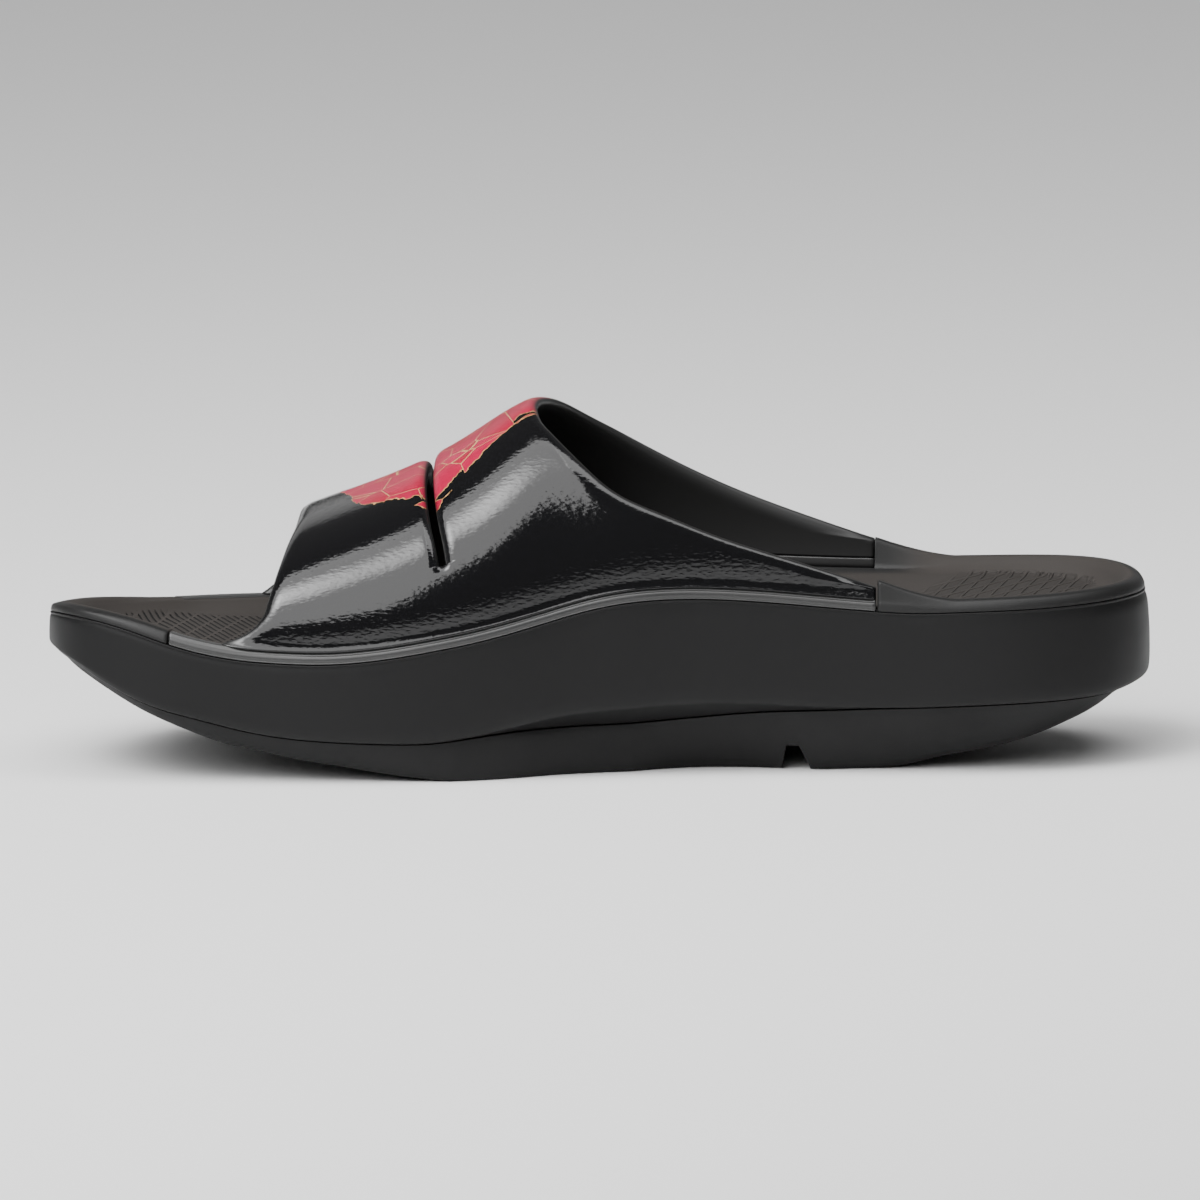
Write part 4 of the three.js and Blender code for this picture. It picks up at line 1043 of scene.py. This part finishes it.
class SLIDE_OT_tread(bpy.types.Operator):
    """Build the tread layer with the groove before the heel"""

    bl_idname = "slide.tread"
    bl_label = "Tread"

    def execute(self, context):
        build_ring(context.scene.slide_sizes)
        corners = np.array(NOTCH)
        near = np.concatenate([corners + d for d in (-0.0012, -0.0004, 0, 0.0004, 0.0012)])
        points = tread_points(ring_frame(ring_places(SOLE_PLACES, turn_at(near))))
        foam = skin_material("tread foam", context.scene.slide_colours.tread, **TREAD_SKIN)
        add_piece("tread", points, lattice_faces(*points.shape[:2], True), foam, "outsole")
        return {"FINISHED"}


class SLIDE_OT_strap(bpy.types.Operator):
    """Build the strap with its slot and printed crest"""

    bl_idname = "slide.strap"
    bl_label = "Strap"

    def execute(self, context):
        sizes = context.scene.slide_sizes
        build_ring(sizes)
        shape = StrapShape(sizes)
        outer, inner, film, print_field, up = strap_lattice(shape, sizes.slot_width * 1e3)
        rows, columns = outer.shape[:2]
        points = np.concatenate((outer.reshape(-1, 3), inner.reshape(-1, 3)))
        plain = np.zeros(rows * columns)
        fields = {"film": np.concatenate((film.ravel(), plain)),
                  "print_field": np.concatenate((print_field.ravel(), plain))}
        add_piece("strap", points, strap_faces(rows, columns, up), film_material(context.scene.slide_colours),
                  "upper", fields)
        return {"FINISHED"}


class SLIDE_OT_flange(bpy.types.Operator):
    """Build the beads along both feet of the strap"""

    bl_idname = "slide.flange"
    bl_label = "Flange"

    def execute(self, context):
        sizes = context.scene.slide_sizes
        build_ring(sizes)
        shape = StrapShape(sizes)
        skin = skin_material("bead skin", context.scene.slide_colours.bead, **BEAD_SKIN)
        for name, side in (("flange_arch_side", -1), ("flange_outer_side", 1)):
            points = flange_points(shape, side)
            add_piece(name, points, lattice_faces(*points.shape[:2], False), skin, "upper")
        return {"FINISHED"}


def area_light(name, place, target, size, power, spread):
    """A rectangular area light at a place, facing a target, its beam narrowed to a spread in degrees."""
    data = bpy.data.lights.new(name, "AREA")
    data.shape = "RECTANGLE"
    data.size, data.size_y = size
    data.energy = power
    data.spread = math.radians(spread)
    lamp = bpy.data.objects.new(name, data)
    lamp.location = place
    lamp.rotation_euler = (Vector(target) - Vector(place)).to_track_quat("-Z", "Y").to_euler()
    bpy.context.scene.collection.objects.link(lamp)


# Lights: name, place, target, size, watts and spread in degrees
LIGHTS = (
    ("slanted softbox", (-0.75, -0.80, 1.12), (-0.75, 0.0, -0.273), (1.7, 2.4), 52.0, 180.0),
    ("softbox core", (-0.62, -0.62, 1.22), (0.0, 0.0, 0.0), (0.95, 0.95), 2.2, 40.0),
    ("overhead strip", (0.8, -0.3, 1.75), (0.8, -0.3, 0.0), (1.4, 0.9), 18.0, 180.0),
    ("back wall", (0.0, 2.4, 0.70), (0.0, 0.0, 0.3), (4.0, 0.8), 4.0, 180.0),
)
WORLD_LIGHT = 0.11
FLOOR_HEIGHT = -2e-4
CAMERA_DISTANCE = 12.0
CAMERA_ELEVATION = 10.0
PICTURE_WIDTH = 0.2953  # metres across the picture at the shoe
AIM = (0.0, -0.002, 0.0376)


class SLIDE_OT_stage(bpy.types.Operator):
    """Make the floor, the studio lights and the camera"""

    bl_idname = "slide.stage"
    bl_label = "Floor, lights and camera"

    def execute(self, context):
        sizes, colours = context.scene.slide_sizes, context.scene.slide_colours
        half = sizes.floor_size / 2
        mesh = bpy.data.meshes.new("floor")
        corners = [(x * half, y * half, FLOOR_HEIGHT) for x, y in ((-1, -1), (1, -1), (1, 1), (-1, 1))]
        mesh.from_pydata(corners, [], [(0, 1, 2, 3)])
        floor = bpy.data.objects.new("floor", mesh)
        context.scene.collection.objects.link(floor)
        mesh.materials.append(new_material("pale floor", colours.floor, 0.8, 0.1)[0])

        world = bpy.data.worlds.new("studio")
        world.use_nodes = True
        background = world.node_tree.nodes["Background"]
        background.inputs["Color"].default_value = (1, 1, 1, 1)
        background.inputs["Strength"].default_value = WORLD_LIGHT
        context.scene.world = world

        for light in LIGHTS:
            area_light(*light)

        data = bpy.data.cameras.new("camera")
        data.sensor_width = 36.0
        data.lens = data.sensor_width * CAMERA_DISTANCE / PICTURE_WIDTH
        data.clip_start, data.clip_end = 0.5, 100.0
        camera = bpy.data.objects.new("camera", data)
        tilt = math.radians(CAMERA_ELEVATION)
        back = Vector((0.0, -math.cos(tilt), math.sin(tilt)))
        camera.location = Vector(AIM) + back * CAMERA_DISTANCE
        camera.rotation_euler = (-back).to_track_quat("-Z", "Y").to_euler()
        context.scene.collection.objects.link(camera)
        context.scene.camera = camera
        return {"FINISHED"}


class SLIDE_PT_panel(bpy.types.Panel):
    """Sizes, colours and building steps of the sandal."""

    bl_idname = "SLIDE_PT_panel"
    bl_label = "Foam slide sandal"
    bl_space_type = "VIEW_3D"
    bl_region_type = "UI"
    bl_category = "Slide"

    def draw(self, context):
        for owner in (context.scene.slide_sizes, context.scene.slide_colours):
            box = self.layout.box()
            for name in owner.__annotations__:
                box.prop(owner, name)
        for operator in OPERATORS:
            self.layout.operator(operator.bl_idname)


OPERATORS = (SLIDE_OT_footbed, SLIDE_OT_sidewall, SLIDE_OT_tread, SLIDE_OT_flange, SLIDE_OT_strap, SLIDE_OT_stage)
CLASSES = (SlideSizes, SlideColours, *OPERATORS, SLIDE_PT_panel)


def register():
    """Registers the classes and hangs the properties on the scene."""
    for cls in CLASSES:
        bpy.utils.register_class(cls)
    bpy.types.Scene.slide_sizes = PointerProperty(type=SlideSizes)
    bpy.types.Scene.slide_colours = PointerProperty(type=SlideColours)


def unregister():
    """Takes the properties and classes away again."""
    del bpy.types.Scene.slide_colours
    del bpy.types.Scene.slide_sizes
    for cls in reversed(CLASSES):
        bpy.utils.unregister_class(cls)


def main():
    """Registers the classes and builds the whole scene."""
    register()
    bpy.ops.slide.footbed()
    bpy.ops.slide.sidewall()
    bpy.ops.slide.tread()
    bpy.ops.slide.flange()
    bpy.ops.slide.strap()
    bpy.ops.slide.stage()
    bpy.context.view_layer.update()


if __name__ == "__main__":
    main()
